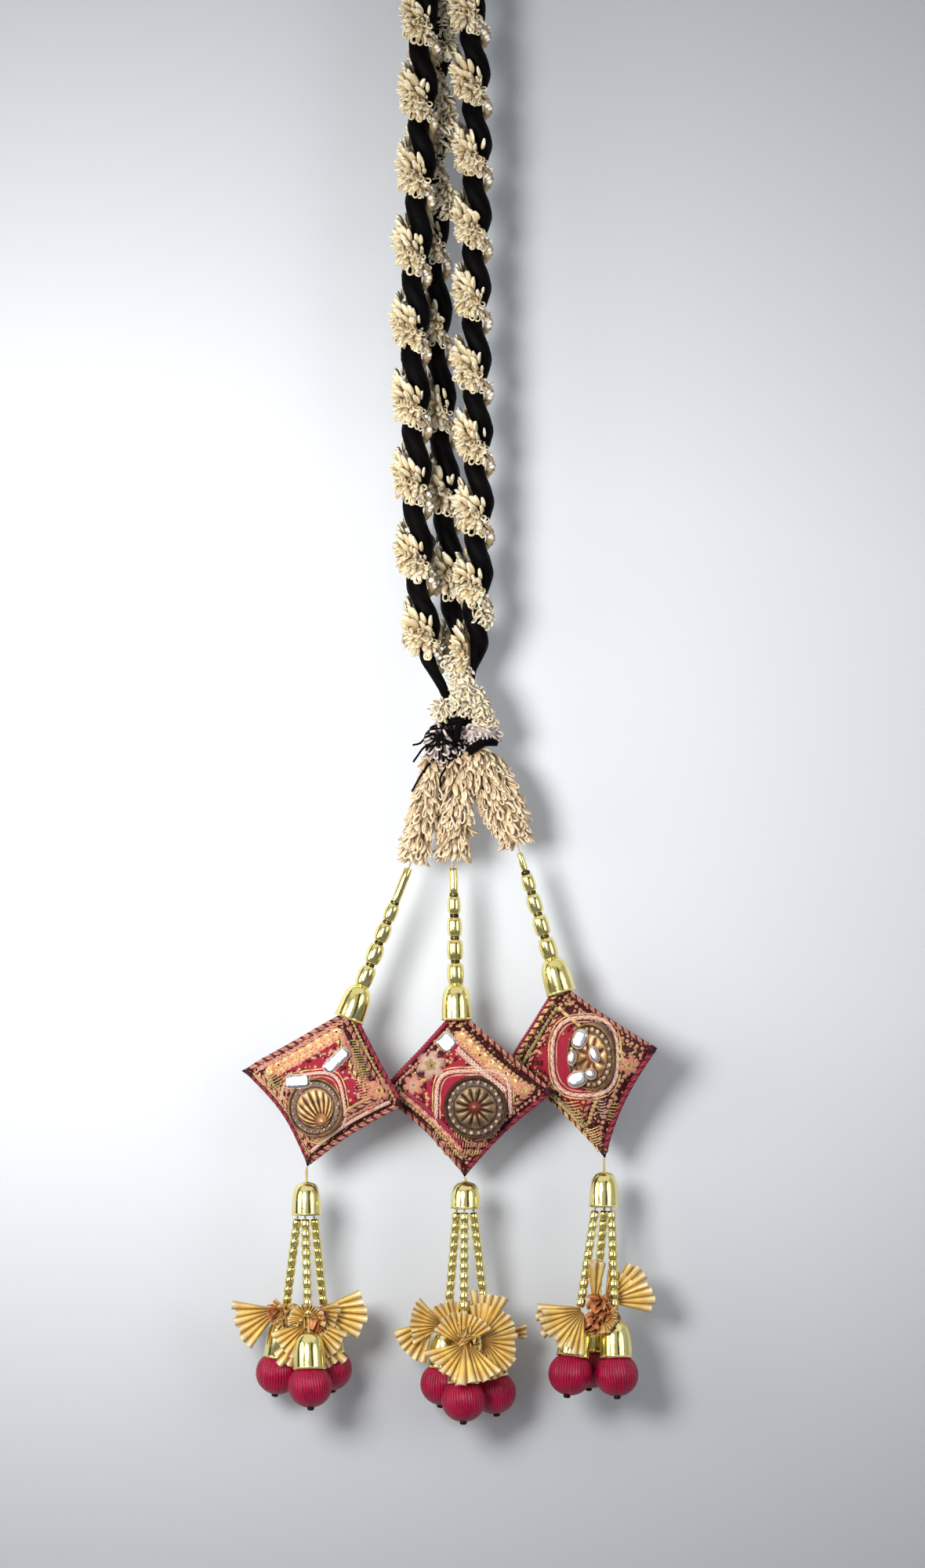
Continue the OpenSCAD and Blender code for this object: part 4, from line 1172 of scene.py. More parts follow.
# What is sewn on each cushion. The rows run along an edge: distance in from it, kind, material and size.
# The rest is seen from the front, x and z in millimetres.
# frame: middle, half width, half height, roundness, tilt in degrees, cord's radius, part of the round
# mirrors: middle, half width, half height, tilt in degrees, how far they stand out and roundness
# patches: four corners, stitched from the first side to the opposite one
# scatter: number of knots, how far out they start, seed and their colours
# flowers: middle, radius, and the materials of petals and heart; beads: middle and radius
cushionTrims = {
    "left": {
        "rows": {
            "upperLeft": ((0.5, "barred", "mauveCord", 1.0), (2.5, "eyelets", "roseStitch", 1.0),
                (4.0, "dots", "darkCord", 0.5), (5.8, "sequins", "sequinGold", 1.75),
                (7.4, "knots", "goldStitch", 0.6), (8.4, "rope", "roseStitch", 0.5)),
            "upperRight": ((0.5, "barred", "maroonCord", 0.8), (1.9, "knots", "goldStitch", 0.7),
                (3.2, "barred", "mauveCord", 0.7), (4.6, "dots", "darkCord", 0.55),
                (6.2, "stitches", "roseStitch", 2.2), (8.2, "barred", "goldStitch", 0.6)),
            "lowerRight": ((0.5, "barred", "mauveCord", 0.95), (2.0, "dots", "darkCord", 0.5),
                (3.2, "rope", "pinkCord", 0.7), (4.6, "knots", "roseStitch", 0.7),
                (6.2, "barred", "mauveCord", 0.7), (7.6, "knots", "goldStitch", 0.6)),
            "lowerLeft": ((0.5, "barred", "maroonCord", 0.7), (2.0, "stitches", "goldStitch", 1.8),
                (3.8, "barred", "roseStitch", 0.6), (5.2, "knots", "goldStitch", 0.6))},
        "frame": ((-44.8, -407.0), 9.6, 9.8, 3.4, 8, 0.6, (-50, 165)),
        "mirrors": (((-37.6, -393.0), 4.7, 1.8, -44, 0.8, 5.0), ((-49.6, -399.6), 3.6, 2.0, -6, 0.8, 5.0)),
        "patches": (
            (((-33.4, -386.6), (-29.2, -387.6), (-26.4, -397.6), (-32.0, -398.6)), "oliveStitch"),
            (((-31.8, -399.0), (-28.0, -398.6), (-24.5, -407.5), (-28.8, -409.0)), "roseStitch"),
            (((-46.0, -418.6), (-40.6, -419.4), (-38.6, -415.6), (-42.0, -413.6)), "goldStitch"),
            (((-61.5, -398.4), (-56.0, -395.0), (-53.4, -399.6), (-58.8, -403.0)), "oliveStitch")),
        "scatter": (620, 0.36, 5, ("goldStitch", "roseStitch", "darkCord", "pinkCord", "darkCord")),
        "flowers": (((-24.0, -402.4), 4.2, "roseStitch", "goldStitch"),),
        "beads": ((-58.0, -397.0, 1.5),)},
    "middle": {
        "rows": {
            "upperRight": ((0.4, "barred", "mauveCord", 0.8), (1.9, "dots", "darkCord", 0.65),
                (3.2, "knots", "goldStitch", 0.7), (5.2, "sequins", "sequinGold", 1.6),
                (7.0, "knots", "roseStitch", 0.6), (8.6, "rope", "pinkCord", 1.0)),
            "upperLeft": ((0.5, "rope", "maroonCord", 0.8), (2.4, "knots", "roseStitch", 0.7)),
            "lowerLeft": ((0.4, "barred", "mauveCord", 0.8), (2.0, "dots", "darkCord", 0.6),
                (3.4, "knots", "goldStitch", 0.7), (5.0, "rope", "roseStitch", 0.8),
                (6.8, "rope", "maroonCord", 0.8)),
            "lowerRight": ((0.5, "barred", "maroonCord", 0.9), (2.2, "knots", "roseStitch", 0.7),
                (3.8, "barred", "mauveCord", 0.7))},
        "frame": ((5.9, -408.2), 11.6, 11.8, 4.2, 0, 0.75, (-8, 206)),
        "mirrors": (((-2.2, -387.6), 2.7, 2.6, 45, 0.8, 5.0),),
        "patches": (
            (((-6.5, -415.6), (-6.5, -418.2), (13.5, -417.8), (14.0, -415.8)), "goldStitch"),
            (((-5.6, -419.0), (-4.6, -420.8), (10.6, -420.6), (12.0, -418.8)), "roseStitch"),
            (((-3.4, -421.4), (-2.6, -423.4), (6.8, -423.2), (8.4, -421.2)), "goldStitch")),
        "scatter": (560, 0.42, 6, ("goldStitch", "roseStitch", "darkCord", "goldStitch", "darkCord")),
        "flowers": (((-7.4, -394.6), 5.0, "pinkCord", "oliveStitch"),
                    ((-13.0, -401.0), 3.6, "roseStitch", "pinkCord"),
                    ((22.0, -402.6), 3.0, "roseStitch", "goldStitch")),
        "beads": ()},
    "right": {
        "rows": {
            "upperLeft": ((0.5, "rope", "maroonCord", 0.8), (2.0, "barred", "goldStitch", 0.8),
                (3.6, "dots", "darkCord", 0.6), (5.0, "knots", "oliveStitch", 0.8),
                (6.6, "barred", "roseStitch", 0.6)),
            "upperRight": ((0.5, "barred", "mauveCord", 0.7), (2.0, "knots", "roseStitch", 0.7),
                (3.6, "dots", "darkCord", 0.6), (5.0, "rope", "goldStitch", 0.6)),
            "lowerRight": ((0.6, "barred", "maroonCord", 1.0), (2.4, "knots", "roseStitch", 0.8),
                (4.0, "dots", "darkCord", 0.7), (5.6, "knots", "goldStitch", 0.8),
                (7.2, "barred", "mauveCord", 0.7)),
            "lowerLeft": ((0.4, "barred", "goldStitch", 0.7), (1.9, "dots", "darkCord", 0.6),
                (3.4, "eyelets", "goldStitch", 1.0), (5.2, "knots", "oliveStitch", 0.8))},
        "frame": ((41.6, -391.8), 10.2, 12.2, 2.8, 0, 0.8, (0, 360)),
        "mirrors": (((40.7, -386.4), 2.0, 2.9, 24, 2.8, 2.3), ((40.2, -398.4), 2.9, 2.2, -24, 2.8, 2.3),
                    ((45.2, -391.0), 1.3, 2.4, -20, 2.9, 2.0), ((38.6, -391.8), 1.1, 2.0, 8, 2.9, 2.0),
                    ((44.2, -396.6), 1.4, 1.5, -40, 2.9, 2.0)),
        "patches": (
            (((45.6, -405.9), (48.2, -405.6), (48.4, -410.4), (45.8, -410.4)), "pinkCord"),
            (((49.2, -406.8), (53.2, -406.4), (51.8, -412.0), (48.4, -411.6)), "oliveStitch"),
            (((41.0, -415.6), (46.4, -413.8), (47.6, -421.6), (45.4, -422.2)), "goldStitch"),
            (((35.0, -406.5), (39.6, -406.0), (41.4, -412.0), (37.6, -411.6)), "goldStitch")),
        "scatter": (560, 0.42, 7, ("goldStitch", "roseStitch", "darkCord", "oliveStitch", "darkCord")),
        "flowers": (((55.5, -394.5), 3.6, "roseStitch", "goldStitch"),),
        "beads": ()}}

edgePlaces = {"upperLeft": (0, -1), "upperRight": (1, 1), "lowerRight": (0, 1), "lowerLeft": (1, -1)}
# Steps along a row as shares of its size; the others' steps are in millimetres.
rowMake = {"pitch": {"eyelets": 2.0, "knots": 2.5, "dots": 4.4, "sequins": 2.7, "rings": 2.7},
           "stitchStep": 0.95, "patchStep": 0.8, "ropeTwist": 4.2, "barTwist": 2.8}


def alongEdge(surface, edge, inset, t, lift=0.0):
    # Points in from one edge of the front by inset, at the share t of the way along it.
    axis, end = edgePlaces[edge]
    near = end * (1 - np.asarray(inset) / surface["half"])
    reach = t * (1 - inset / surface["half"]) * 0.97
    return onFront(surface, near, reach, lift) if axis == 0 else onFront(surface, reach, near, lift)


def squareLine(middle, halfWidth, halfHeight, power, tilt, count=90, span=(0, 360)):
    # |x / w|^power + |z / h|^power = 1, turned by the tilt.
    a = np.radians(np.linspace(*span, count, endpoint=False))
    c, s = np.cos(a), np.sin(a)
    r = (np.abs(c) ** power + np.abs(s) ** power) ** (-1 / power)
    x, z = halfWidth * r * c, halfHeight * r * s
    angle = math.radians(tilt)
    return (middle[0] + x * math.cos(angle) - z * math.sin(angle),
            middle[1] + x * math.sin(angle) + z * math.cos(angle))


def satin(points, normals, radius=0.26, rise=0.4):
    # Threads over lines of points: each is highest halfway, by rise * sin(pi s), and sinks in at its ends.
    s = np.linspace(0, 1, points.shape[-2])[:, None]
    lifted = points + normals * (rise * np.sin(math.pi * s) - 0.1)
    return tubePart(lifted, radius, 5, hint=normals, section=(0.8, 1.25))


def ringPart(radius, wire, steps=12):
    # A torus that lies flat.
    return tubePart(polar(radius, aroundAngles(steps), 0.0), wire, closed=True, hint=(0, 0, 1))


def knotPart():
    # A knot of thread: a low dome over a round of radius 1.
    return spunPart([[0, -0.1], [1, 0], [0.87, 0.38], [0.5, 0.65], [0, 0.75]], 9)


def scatteredKnots(surface, count, start, seed, colours):
    # Knots over the worked band, where the greater of |u| and |v| is above the start, by chance and colour.
    chance = np.random.default_rng(seed)
    u, v = chance.uniform(-0.95, 0.95, (2, count * 2))
    keep = np.flatnonzero(np.maximum(np.abs(u), np.abs(v)) > start)[:count]
    points, normals = onFront(surface, u[keep], v[keep], 0.1)
    axes, sizes = basis(normals, (0, 0, 1)), chance.uniform(0.32, 0.68, (len(keep), 1)) * (1, 1, 1)
    pick = chance.integers(0, len(colours), len(keep))
    return [(colour, placed(knotPart(), points[pick == k], axes[pick == k], sizes[pick == k]))
            for k, colour in enumerate(colours)]


def evenShares(count):
    # From -1 to 1, the middles of as many equal steps.
    return (np.arange(count) + 0.5) / count * 2 - 1


def edgeRow(surface, edge, inset, kind, size, only=None):
    # One row along an edge: a rope, rings, sequins in rings, knots, or slanted stitches as long as its size.
    length = 2 * surface["half"]
    if kind in ("rope", "barred"):
        line, normals = alongEdge(surface, edge, inset, np.linspace(-1, 1, 120), size * 0.5)
        pitch = size * rowMake["ropeTwist"] if kind == "rope" else rowMake["barTwist"]
        return twisted(line, size, 3, pitch, 6, hint=normals, only=only)
    if kind == "stitches":
        t = np.linspace(-1, 1, round(length / rowMake["stitchStep"]))[:, None]
        s = np.linspace(-0.5, 0.5, 6)[None, :]
        slant = t + s * size * 0.5 / surface["half"]
        return satin(*alongEdge(surface, edge, inset + s * size + 0 * t, slant))
    t = evenShares(round(length / (size * rowMake["pitch"][kind])))
    points, normals = alongEdge(surface, edge, inset, t, 0.2 if kind == "rings" else 0.25)
    if kind == "eyelets":
        part = ringPart(size * 0.78, size * 0.3)
    elif kind == "rings":
        part = ringPart(size * 1.22, 0.36, 16)
    elif kind == "sequins":
        cup = ((0, -0.2), (0.9, -0.2), (1.02, 0.3), (0.98, 0.52), (0.85, 0.3), (0.5, 0.12), (0, 0.1))
        part = spunPart(np.array(cup) * (size, 0.9), 18)
    else:
        return placed(knotPart(), points, basis(normals, (0, 0, 1)), size)
    return placed(part, points, basis(normals, (0, 0, 1)))


def flowerPatch(surface, middle, radius, petals=6, threads=9):
    # Each petal is a fan of threads: length r (1 - 0.35 s^2) at the share s of its half angle.
    s = np.linspace(-1, 1, threads)
    angle = (turn * np.arange(petals)[:, None] / petals + s * math.pi / petals * 0.86).ravel() + 0.3
    far = np.tile(radius * (1 - 0.35 * s ** 2), petals)
    steps = np.linspace(0.25, 1, 6)
    x = middle[0] + np.cos(angle)[:, None] * far[:, None] * steps
    z = middle[1] + np.sin(angle)[:, None] * far[:, None] * steps
    return satin(*facing(surface, x, z), radius=0.24, rise=0.7)


def makeTrims(side, surface):
    # Everything sewn on, gathered by its material into one piece each.
    trims = cushionTrims[side]
    byMaterial = {}

    def sew(material, part):
        byMaterial.setdefault(material, []).append(part)

    for edge, rows in trims["rows"].items():
        for inset, kind, material, size in rows:
            sew(material, edgeRow(surface, edge, inset, kind, size, (0, 1) if kind == "barred" else None))
            if kind == "barred":
                sew("darkCord", edgeRow(surface, edge, inset, kind, size, (2,)))
            if kind == "sequins":
                sew("roseStitch", edgeRow(surface, edge, inset, "rings", size))
    for material, part in scatteredKnots(surface, *trims["scatter"]):
        sew(material, part)
    middle, w, h, power, tilt, r, span = trims["frame"]
    for grow, lift, thick, material in ((0, 0.6, 1.0, "pinkCord"), (-1.2, 0.3, 0.45, "roseStitch"),
                                        (1.2, 0.3, 0.45, "goldStitch")):
        flat = squareLine(middle, w + grow, h + grow, power, tilt, 90, span)
        line, normals = facing(surface, *flat, lift=r * lift)
        sew(material, twisted(line, r * thick, 3, 3.4 * thick, 6, closed=span == (0, 360), hint=normals))
    for corners, material in trims["patches"]:
        a, b, c, d = np.array(corners)
        count = max(4, round(np.linalg.norm(d - a) / rowMake["patchStep"]))
        t = np.linspace(0, 1, count)[:, None, None]
        s = np.linspace(0, 1, 6)[None, :, None]
        flat = (a * (1 - t) + d * t) * (1 - s) + (b * (1 - t) + c * t) * s
        sew(material, satin(*facing(surface, flat[..., 0], flat[..., 1]), rise=0.9))
    for middle, radius, petal, heart in trims["flowers"]:
        sew(petal, flowerPatch(surface, middle, radius))
        sew(heart, flowerPatch(surface, middle, radius * 0.5, 5, 5))
    for x, z, r in trims["beads"]:
        point, normal = facing(surface, [x], [z], r * 0.4)
        sew("sequinGold", placed(beadPart(), point, basis(normal), r))
    for material, parts in byMaterial.items():
        makePiece(f"cushion_{material}_{side}", parts, material)


# Mirrors: the glass's outline by shares of its size and heights, the way the lamp lies, and the cord round it
mirrorMake = {"rings": ((0, -0.5), (1, -0.5), (1, 0.3), (0.9, 0.48), (0.8, 0.52), (0.6, 0.57), (0.35, 0.605),
                        (0, 0.62)),
              "towards": (-0.155, -0.98, 0.085), "bulge": 0.08, "cord": 0.22, "gap": 0.25}


def makeMirrors(side, surface):
    # A glass with a bevelled rim, turned a little from its place on the cloth towards the lamp.
    made = mirrorMake
    glasses, rims = [], []
    for (x, z), w, h, tilt, lift, power in cushionTrims[side]["mirrors"]:
        across, up = squareLine((0, 0), 1.0, 1.0, power, 0, 40)
        rings = [np.stack([across * share, up * share, 0 * up + height], -1)
                 for share, height in made["rings"]]
        point, normal = facing(surface, [x], [z], lift)
        aim = unit(made["bulge"] * normal + np.array(made["towards"]))
        axes = rolled(basis(aim, (0, 0, 1)), np.array([math.radians(-tilt)]))
        glasses.append(placed(gridPart(np.array(rings), wrapColumns=True), point, axes, [[w, h, 1.0]]))
        across, up = squareLine((0, 0), w + made["gap"], h + made["gap"], power, 0, 60)
        rim = point + np.einsum("ij,kj->ki", axes[0], np.stack([across, up, 0 * up - 0.3], -1))
        rims.append(twisted(rim, made["cord"], 2, 1.6, 6, closed=True, hint=aim[0]))
    makePiece(f"mirrors_{side}", glasses, "mirrorGlass", sharp=25)
    makePiece(f"mirror_rims_{side}", rims, "pinkCord")


# Medallions: lengths are shares of the solid's radius and height.
# petals, how far the heart lies from the middle, right and up, the dish's stretch in width and height,
# how red the heart and how dark the rim is, that dark being painted shade, the beads' radius, the finish
medallionMake = {"around": 168, "rings": ((0, 0.2, 7), (0.23, 0.64, 15), (0.67, 1.0, 17)),
                 "beads": 22, "beadRing": 0.8, "beadRise": 0.44, "foot": -0.6,
                 "left": (14, (0.26, -0.46), (0.95, 1.0), 0.25, 0.0, 0.036, "medallionGold"),
                 "middle": (12, (0.0, 0.0), (1.0, 1.0), 1.0, 1.0, 0.06, "medallionOlive"),
                 "right": (8, (0.05, 0.02), (0.8, 1.05), 0.6, 0.5, 0.066, "medallionGold")}


def makeMedallion(side):
    # A dish with a rolled rim, a ring of beads in a dark groove, stamped petals and a boss; the dark of its
    # hollows is tarnish and painted shade. q is the share of the way out from the heart, and the rise and the
    # hollows are sums of steps and bulges of q.
    made = medallionMake
    around = made["around"]
    points = np.concatenate(islandsOf(f"medallion_{side}"))
    _, vectors = np.linalg.eigh(np.cov((points - points.mean(0)).T))
    out = vectors[:, 0] * -np.sign(vectors[1, 0])
    foot, top, r = alongAxis(points, out)
    h = np.linalg.norm(top - foot)
    petals, shift, stretch, redness, rimShade, beadRadius, gilt = made[side]
    q = np.concatenate([np.linspace(*steps) for steps in made["rings"]])[:, None]
    angle = aroundAngles(around)[None, :]
    fold = np.abs(np.cos(petals / 2 * angle))
    body = smoothStep(0.16, 0.24, q) * (1 - smoothStep(0.6, 0.66, q))
    swell = np.sin(math.pi * (0.1 + 0.9 * (q - 0.1) / 0.58))
    rise = 0.42 + 0.1 * (1 - q) + body * (0.42 * fold ** 0.6 - 0.1) * swell
    rise = rise + 0.5 * np.sqrt(np.clip(1 - (q / 0.18) ** 2, 0, 1))
    rise = rise - 0.22 * smoothStep(0.64, 0.7, q) * (1 - smoothStep(0.86, 0.92, q))
    rise = rise + 0.22 * np.exp(-((q - 0.94) / 0.035) ** 2) - 0.5 * smoothStep(0.97, 1.0, q)
    # the hollow mark darkens between the petals, in the groove round the beads, on the rim by rimShade and at
    # the edge: tarnish and painted shade
    hollow = body * (1 - smoothStep(0.25, 0.6, fold))
    groove = smoothStep(0.63, 0.68, q) * (1 - smoothStep(0.9, 0.94, q))
    for shade in (groove, rimShade * smoothStep(0.9, 0.93, q), smoothStep(0.97, 0.985, q)):
        hollow = np.maximum(hollow, shade)
    heart = redness * (1 - smoothStep(0.16, 0.34, q)) + 0 * fold
    lean = 1 - np.minimum(q / 0.66, 1) ** 2
    x = (q * np.cos(angle) + shift[0] * lean) * r * stretch[0]
    y = (q * np.sin(angle) + shift[1] * lean) * r * stretch[1]
    face = np.stack([x, y, rise * h + 0 * x], -1)
    back = face[-1:] * (1, 1, 0) + (0, 0, made["foot"] * h)
    rings = np.concatenate([face, back, back * (0, 0, 1)])[::-1]
    axes = basis(out, (0, 0, 1))
    marks = {name: np.concatenate([value, np.ones((2, around))])[::-1].ravel()
             for name, value in (("hollow", hollow), ("heart", heart))}
    makePiece(f"medallion_dish_{side}", [placed(gridPart(rings, wrapColumns=True), foot, axes)], gilt,
              f"medallion_{side}", sharp=60, marks=marks)
    a = turn * np.arange(made["beads"]) / made["beads"]
    ring = polar(made["beadRing"] * r, a, 0.0) * (*stretch, 1) + (0, 0, made["beadRise"] * h)
    pearls = placed(beadPart(0.9, 0.2, 0.35, 10, 14), foot + ring @ axes.T, axes, beadRadius * r)
    makePiece(f"medallion_pearls_{side}", [pearls], "pearl", sharp=60)


for side in sideNames:
    surface = makeCushion(side)
    makeTrims(side, surface)
    makeMirrors(side, surface)
    makeMedallion(side)
    print(f"cushion {side} ready")


# Drops: threads with small beads, a cap and a ball each, and the bell that gathers three of them
dropMake = {"parting": 3.0, "startBelow": 0.6, "thread": 0.42, "ballRidges": 24, "ridge": 0.05,
            "pin": (1.15, 1.15, 0.65), "ringShare": (0.72, 0.72, 0.16)}


def makeDrops(side):
    # Each thread parts from the others inside the bell and runs straight through its beads to its ball.
    made = dropMake
    drops = dropsOf(side)
    up = np.array([0, 0, 1.0])
    mouth, top, off = alongAxis(islandsOf(f"tassel_cap_{side}")[0], up)
    makePiece(f"bell_cap_{side}", [capAt(mouth, top, up, off)], "goldPlate", f"tassel_cap_{side}",
              sharp=40)
    caps, threads, beads, rings, pins = [], [], [], [], []
    parting = top - up * made["parting"]
    _, high = boxOf(f"tassel_threads_{side}")
    stem = parting + up * np.linspace(0, high[2] - parting[2], 20)[:, None]
    threads.append(twisted(stem, 0.5, 2, 1.8, 5))
    solids = islandsOf(f"tassel_beads_{side}")
    middles = np.array([solid.mean(0) for solid in solids])
    far = [np.linalg.norm(np.cross(middles - drop["ball"], drop["up"]), axis=1) for drop in drops]
    owner = np.argmin(far, axis=0)
    pole, angle = np.linspace(-math.pi / 2, math.pi / 2, 40), aroundAngles(96)
    ripple = made["ridge"] * np.cos(pole)[:, None] * np.cos(made["ballRidges"] * angle)[None, :]
    for number, drop in enumerate(drops):
        ball, way, radius = drop["ball"], drop["up"], drop["radius"]
        axes = basis(way)
        start = ball + way * (mouth[2] - made["startBelow"] - ball[2]) / way[2]
        line = np.concatenate([smoothPath([parting, (parting + start) / 2, start, start - way * 3], 16),
                               start - way * np.linspace(4, np.linalg.norm(start - ball), 30)[:, None]])
        threads.append(twisted(line, made["thread"], 2, 1.8, 5))
        ends = [alongAxis(solids[k], way) for k in np.flatnonzero(owner == number)]
        at = np.array([(low + high) / 2 for low, high, _ in ends])
        sizes = np.array([[off, off, np.linalg.norm(high - low) / 2 * 1.02] for low, high, off in ends])
        beads.append(placed(beadPart(around=16, rows=10, flat=0.62), at, axes, sizes))
        rising = at[np.argsort(at[:, 2])]
        joints = (rising[1:] + rising[:-1]) / 2
        rings.append(placed(beadPart(flat=0.8, rows=6, around=12), joints, axes,
                            [sizes[0] * made["ringShare"]] * len(joints)))
        caps.append(capAt(drop["mouth"], drop["top"], way, drop["width"]))
        profile = np.stack([radius * np.cos(pole), radius * np.sin(pole) * 0.99], -1)
        wound = placed(spunPart(profile, 96, ripple), ball, axes)
        makePiece(f"wound_ball_{side}_{number + 1}", [wound], "crimsonThread",
                  f"ball_{side}_{number + 1}")
        tip = ball - way * (radius + 0.2)
        pins.append(placed(beadPart(1.0, 0.15, 0.2, 10, 14), tip, axes, [made["pin"]]))
    for name, parts, material, slot, node in (
            ("caps", caps, "goldPlate", "gold_cap", f"ball_caps_{side}"),
            ("beads", beads, "goldPlate", "gold_bead", f"tassel_beads_{side}"),
            ("threads", threads, "goldThread", "gold_thread", f"tassel_threads_{side}"),
            ("rings", rings, "spacerGold", "gold_bead", None),
            ("pins", pins, "darkPin", "gold_bead", None)):
        makePiece(f"drop_{name}_{side}", parts, material, node, sharp=45)
    return drops


# Gota flowers. Each is a few fans: apex from its ball cap's top, aim of the middle pleat in degrees from
# straight down towards the left, lean, turn, spread and radius. The first fan of each is that of the solid.
flowerMake = {
    "pleats": 34, "pleatHeight": 1.6, "eye": 1.0, "sheet": 0.22, "cup": -1.2,
    "left": (
        (((-2.0, 0, 3.6), 68, 0, 8, 66, 15), ((-1.6, 1.0, 3.2), 62, 8, 0, 50, 14),
         ((2.4, -2.5, 2.2), 78, -20, 0, 110, 7.5)),
        (((0.4, 4.5, 1.9), 2, 11, 0, 102, 15.6), ((0.4, 3.2, 3.2), 0, 5, 0, 150, 12.8),
         ((-0.5, 1.0, 4.2), 180, -30, 0, 220, 6)),
        (((-2.6, -3.4, 1.8), -86, 0, 0, 62, 16.5), ((-3.6, 1.5, 2.4), -76, 12, 0, 60, 14.5),
         ((-4.5, -5.0, 2.0), -64, -18, 0, 80, 10))),
    "middle": (
        (((-4.0, -1.2, 3.4), 44, 0, 8, 64, 14.5), ((-0.6, -3.2, 1.6), 98, -10, 0, 80, 12),
         ((3.2, -3.4, -1.0), 176, -6, 0, 90, 11.5)),
        (((1.4, -3, 1.6), 14, -19, 0, 128, 14.2), ((0.4, -3.4, 2.4), -2, -24, 0, 26, 16.5),
         ((-0.6, -2.4, 0.6), 180, 4, 0, 130, 10.5)),
        (((-3.0, -7.4, -0.2), -96, 0, 14, 200, 12.4), ((-2.6, -6.8, 0.2), -168, 0, 0, 48, 15.5),
         ((-1.6, -6.4, 0), -32, -8, 0, 60, 13.2), ((3.0, 1.0, 1.0), -98, 8, 0, 30, 10))),
    "right": (
        (((1.8, -4.1, 3.4), 46, -17, 0, 92, 15), ((1.6, -3.0, 4.2), 74, -8, 0, 44, 15.5)),
        (((-2.8, 4.2, 6), -114, 0, -6, 76, 15.5), ((-3.4, 2.2, 5.6), -148, 10, 0, 50, 11),
         ((-4.0, -3.0, 1.5), -60, -30, 0, 120, 6)),
        (((0.2, -7.4, 1.6), 178, 0, 62, 44, 17), ((-0.4, -8.2, 1.6), 182, 0, 20, 22, 16.5),
         ((0.6, -8.0, 13.0), 2, 0, 20, 30, 12))),
    # how far a pleat may tilt and twist by chance, in degrees, and how it may be cut
    "tilt": 2.2, "twist": 9.0, "cut": (0.92, 1.03),
    # crumpled ribbon where the fans meet: middle, radius, number of petals and finish
    "tufts": {
        "left": ((-43.8, -5.6, -474.8, 1.8, 22, "copperGota"), (-49.4, -4.5, -474.4, 2.0, 20, "orangeGota"),
                 (-53.6, -4.0, -473.6, 1.8, 16, "orangeGota"), (-57.0, -3.6, -473.6, 1.4, 12, "copperGota")),
        "middle": ((3.4, -5.4, -478.4, 1.8, 18, "orangeGota"), (4.8, -6.8, -482.8, 1.7, 18, "orangeGota")),
        "right": ((44.6, -5.0, -476.4, 1.8, 20, "copperGota"), (49.0, -5.0, -474.2, 1.8, 20, "copperGota"),
                  (45.8, -4.0, -470.6, 1.3, 14, "copperGota"))}}


def turnAbout(axis, degrees):
    # The matrix that turns about one coordinate axis.
    c, s = math.cos(math.radians(degrees)), math.sin(math.radians(degrees))
    a, b = [(1, 2), (2, 0), (0, 1)][axis]
    matrix = np.eye(3)
    matrix[a, a] = matrix[b, b] = c
    matrix[a, b], matrix[b, a] = -s, s
    return matrix


def pleatPart(half, radius, height, sheet, eye, cup, rows=9):
    # One fold: across it runs from valley over ridge to valley; down it widens from the eye to the edge.
    r = eye + (radius - eye) * np.linspace(0, 1, rows)[:, None] ** 0.8
    across = np.array([-1, -0.55, -0.12, 0.12, 0.55, 1])[None, :]
    fold = (1 - 2 * np.abs(across)) * height / 2 * r / radius
    x = r * math.sin(half) * across
    y = cup * (r / radius) ** 2 - fold
    z = -r * np.cos(half * across)
    top = np.stack([x, y - sheet / 2, z], -1)
    low = np.stack([x, y + sheet / 2, z], -1)
    return cappedPart(np.concatenate([top[:, ::-1], low], 1))


def makeFlower(side, number, drop, chance):
    # Each fan's pleats stand side by side over its spread, and each is tilted and cut a little by chance.
    made = flowerMake
    folds = []
    for apex, aim, lean, turned, spread, radius in made[side][number]:
        count = round(made["pleats"] * spread / 360)
        step = math.radians(spread) / count
        part = pleatPart(step / 2, radius, made["pleatHeight"], made["sheet"], made["eye"], made["cup"])
        axes = turnAbout(2, turned) @ turnAbout(1, aim) @ turnAbout(0, lean)
        for k in range(count):
            angle = math.degrees((k + 0.5) * step) - spread / 2
            tilt = turnAbout(1, -angle) @ turnAbout(0, chance.normal(0, made["tilt"]))
            tilt = tilt @ turnAbout(2, chance.normal(0, made["twist"]))
            size = chance.uniform(*made["cut"])
            folds.append(placed(part, drop["top"] + np.array(apex), axes @ tilt, size))
    makePiece(f"gota_fan_{side}_{number + 1}", folds, "orangeGota",
              f"gota_flower_{side}_{number + 1}", sharp=50)


def makeTufts(side, chance):
    # Petals on small balls, pointing outwards and down.
    byMaterial = {}
    for x, y, z, radius, count, material in flowerMake["tufts"][side]:
        part = petalPart(2.4, 3.4, 1.2, 0.5, rows=6, columns=6)
        byMaterial.setdefault(material, []).append(scatteredLoops(
            np.array([x, y, z]), np.full(3, radius), count, (2.4, 3.4, 0), chance, 0.75, part))
    for material, parts in byMaterial.items():
        makePiece(f"tuft_{material}_{side}", parts, material)


for order, side in enumerate(sideNames):
    drops = makeDrops(side)
    chance = np.random.default_rng(71 + order)
    for number in range(3):
        makeFlower(side, number, drops[number], chance)
    makeTufts(side, chance)
print("drops and flowers ready")
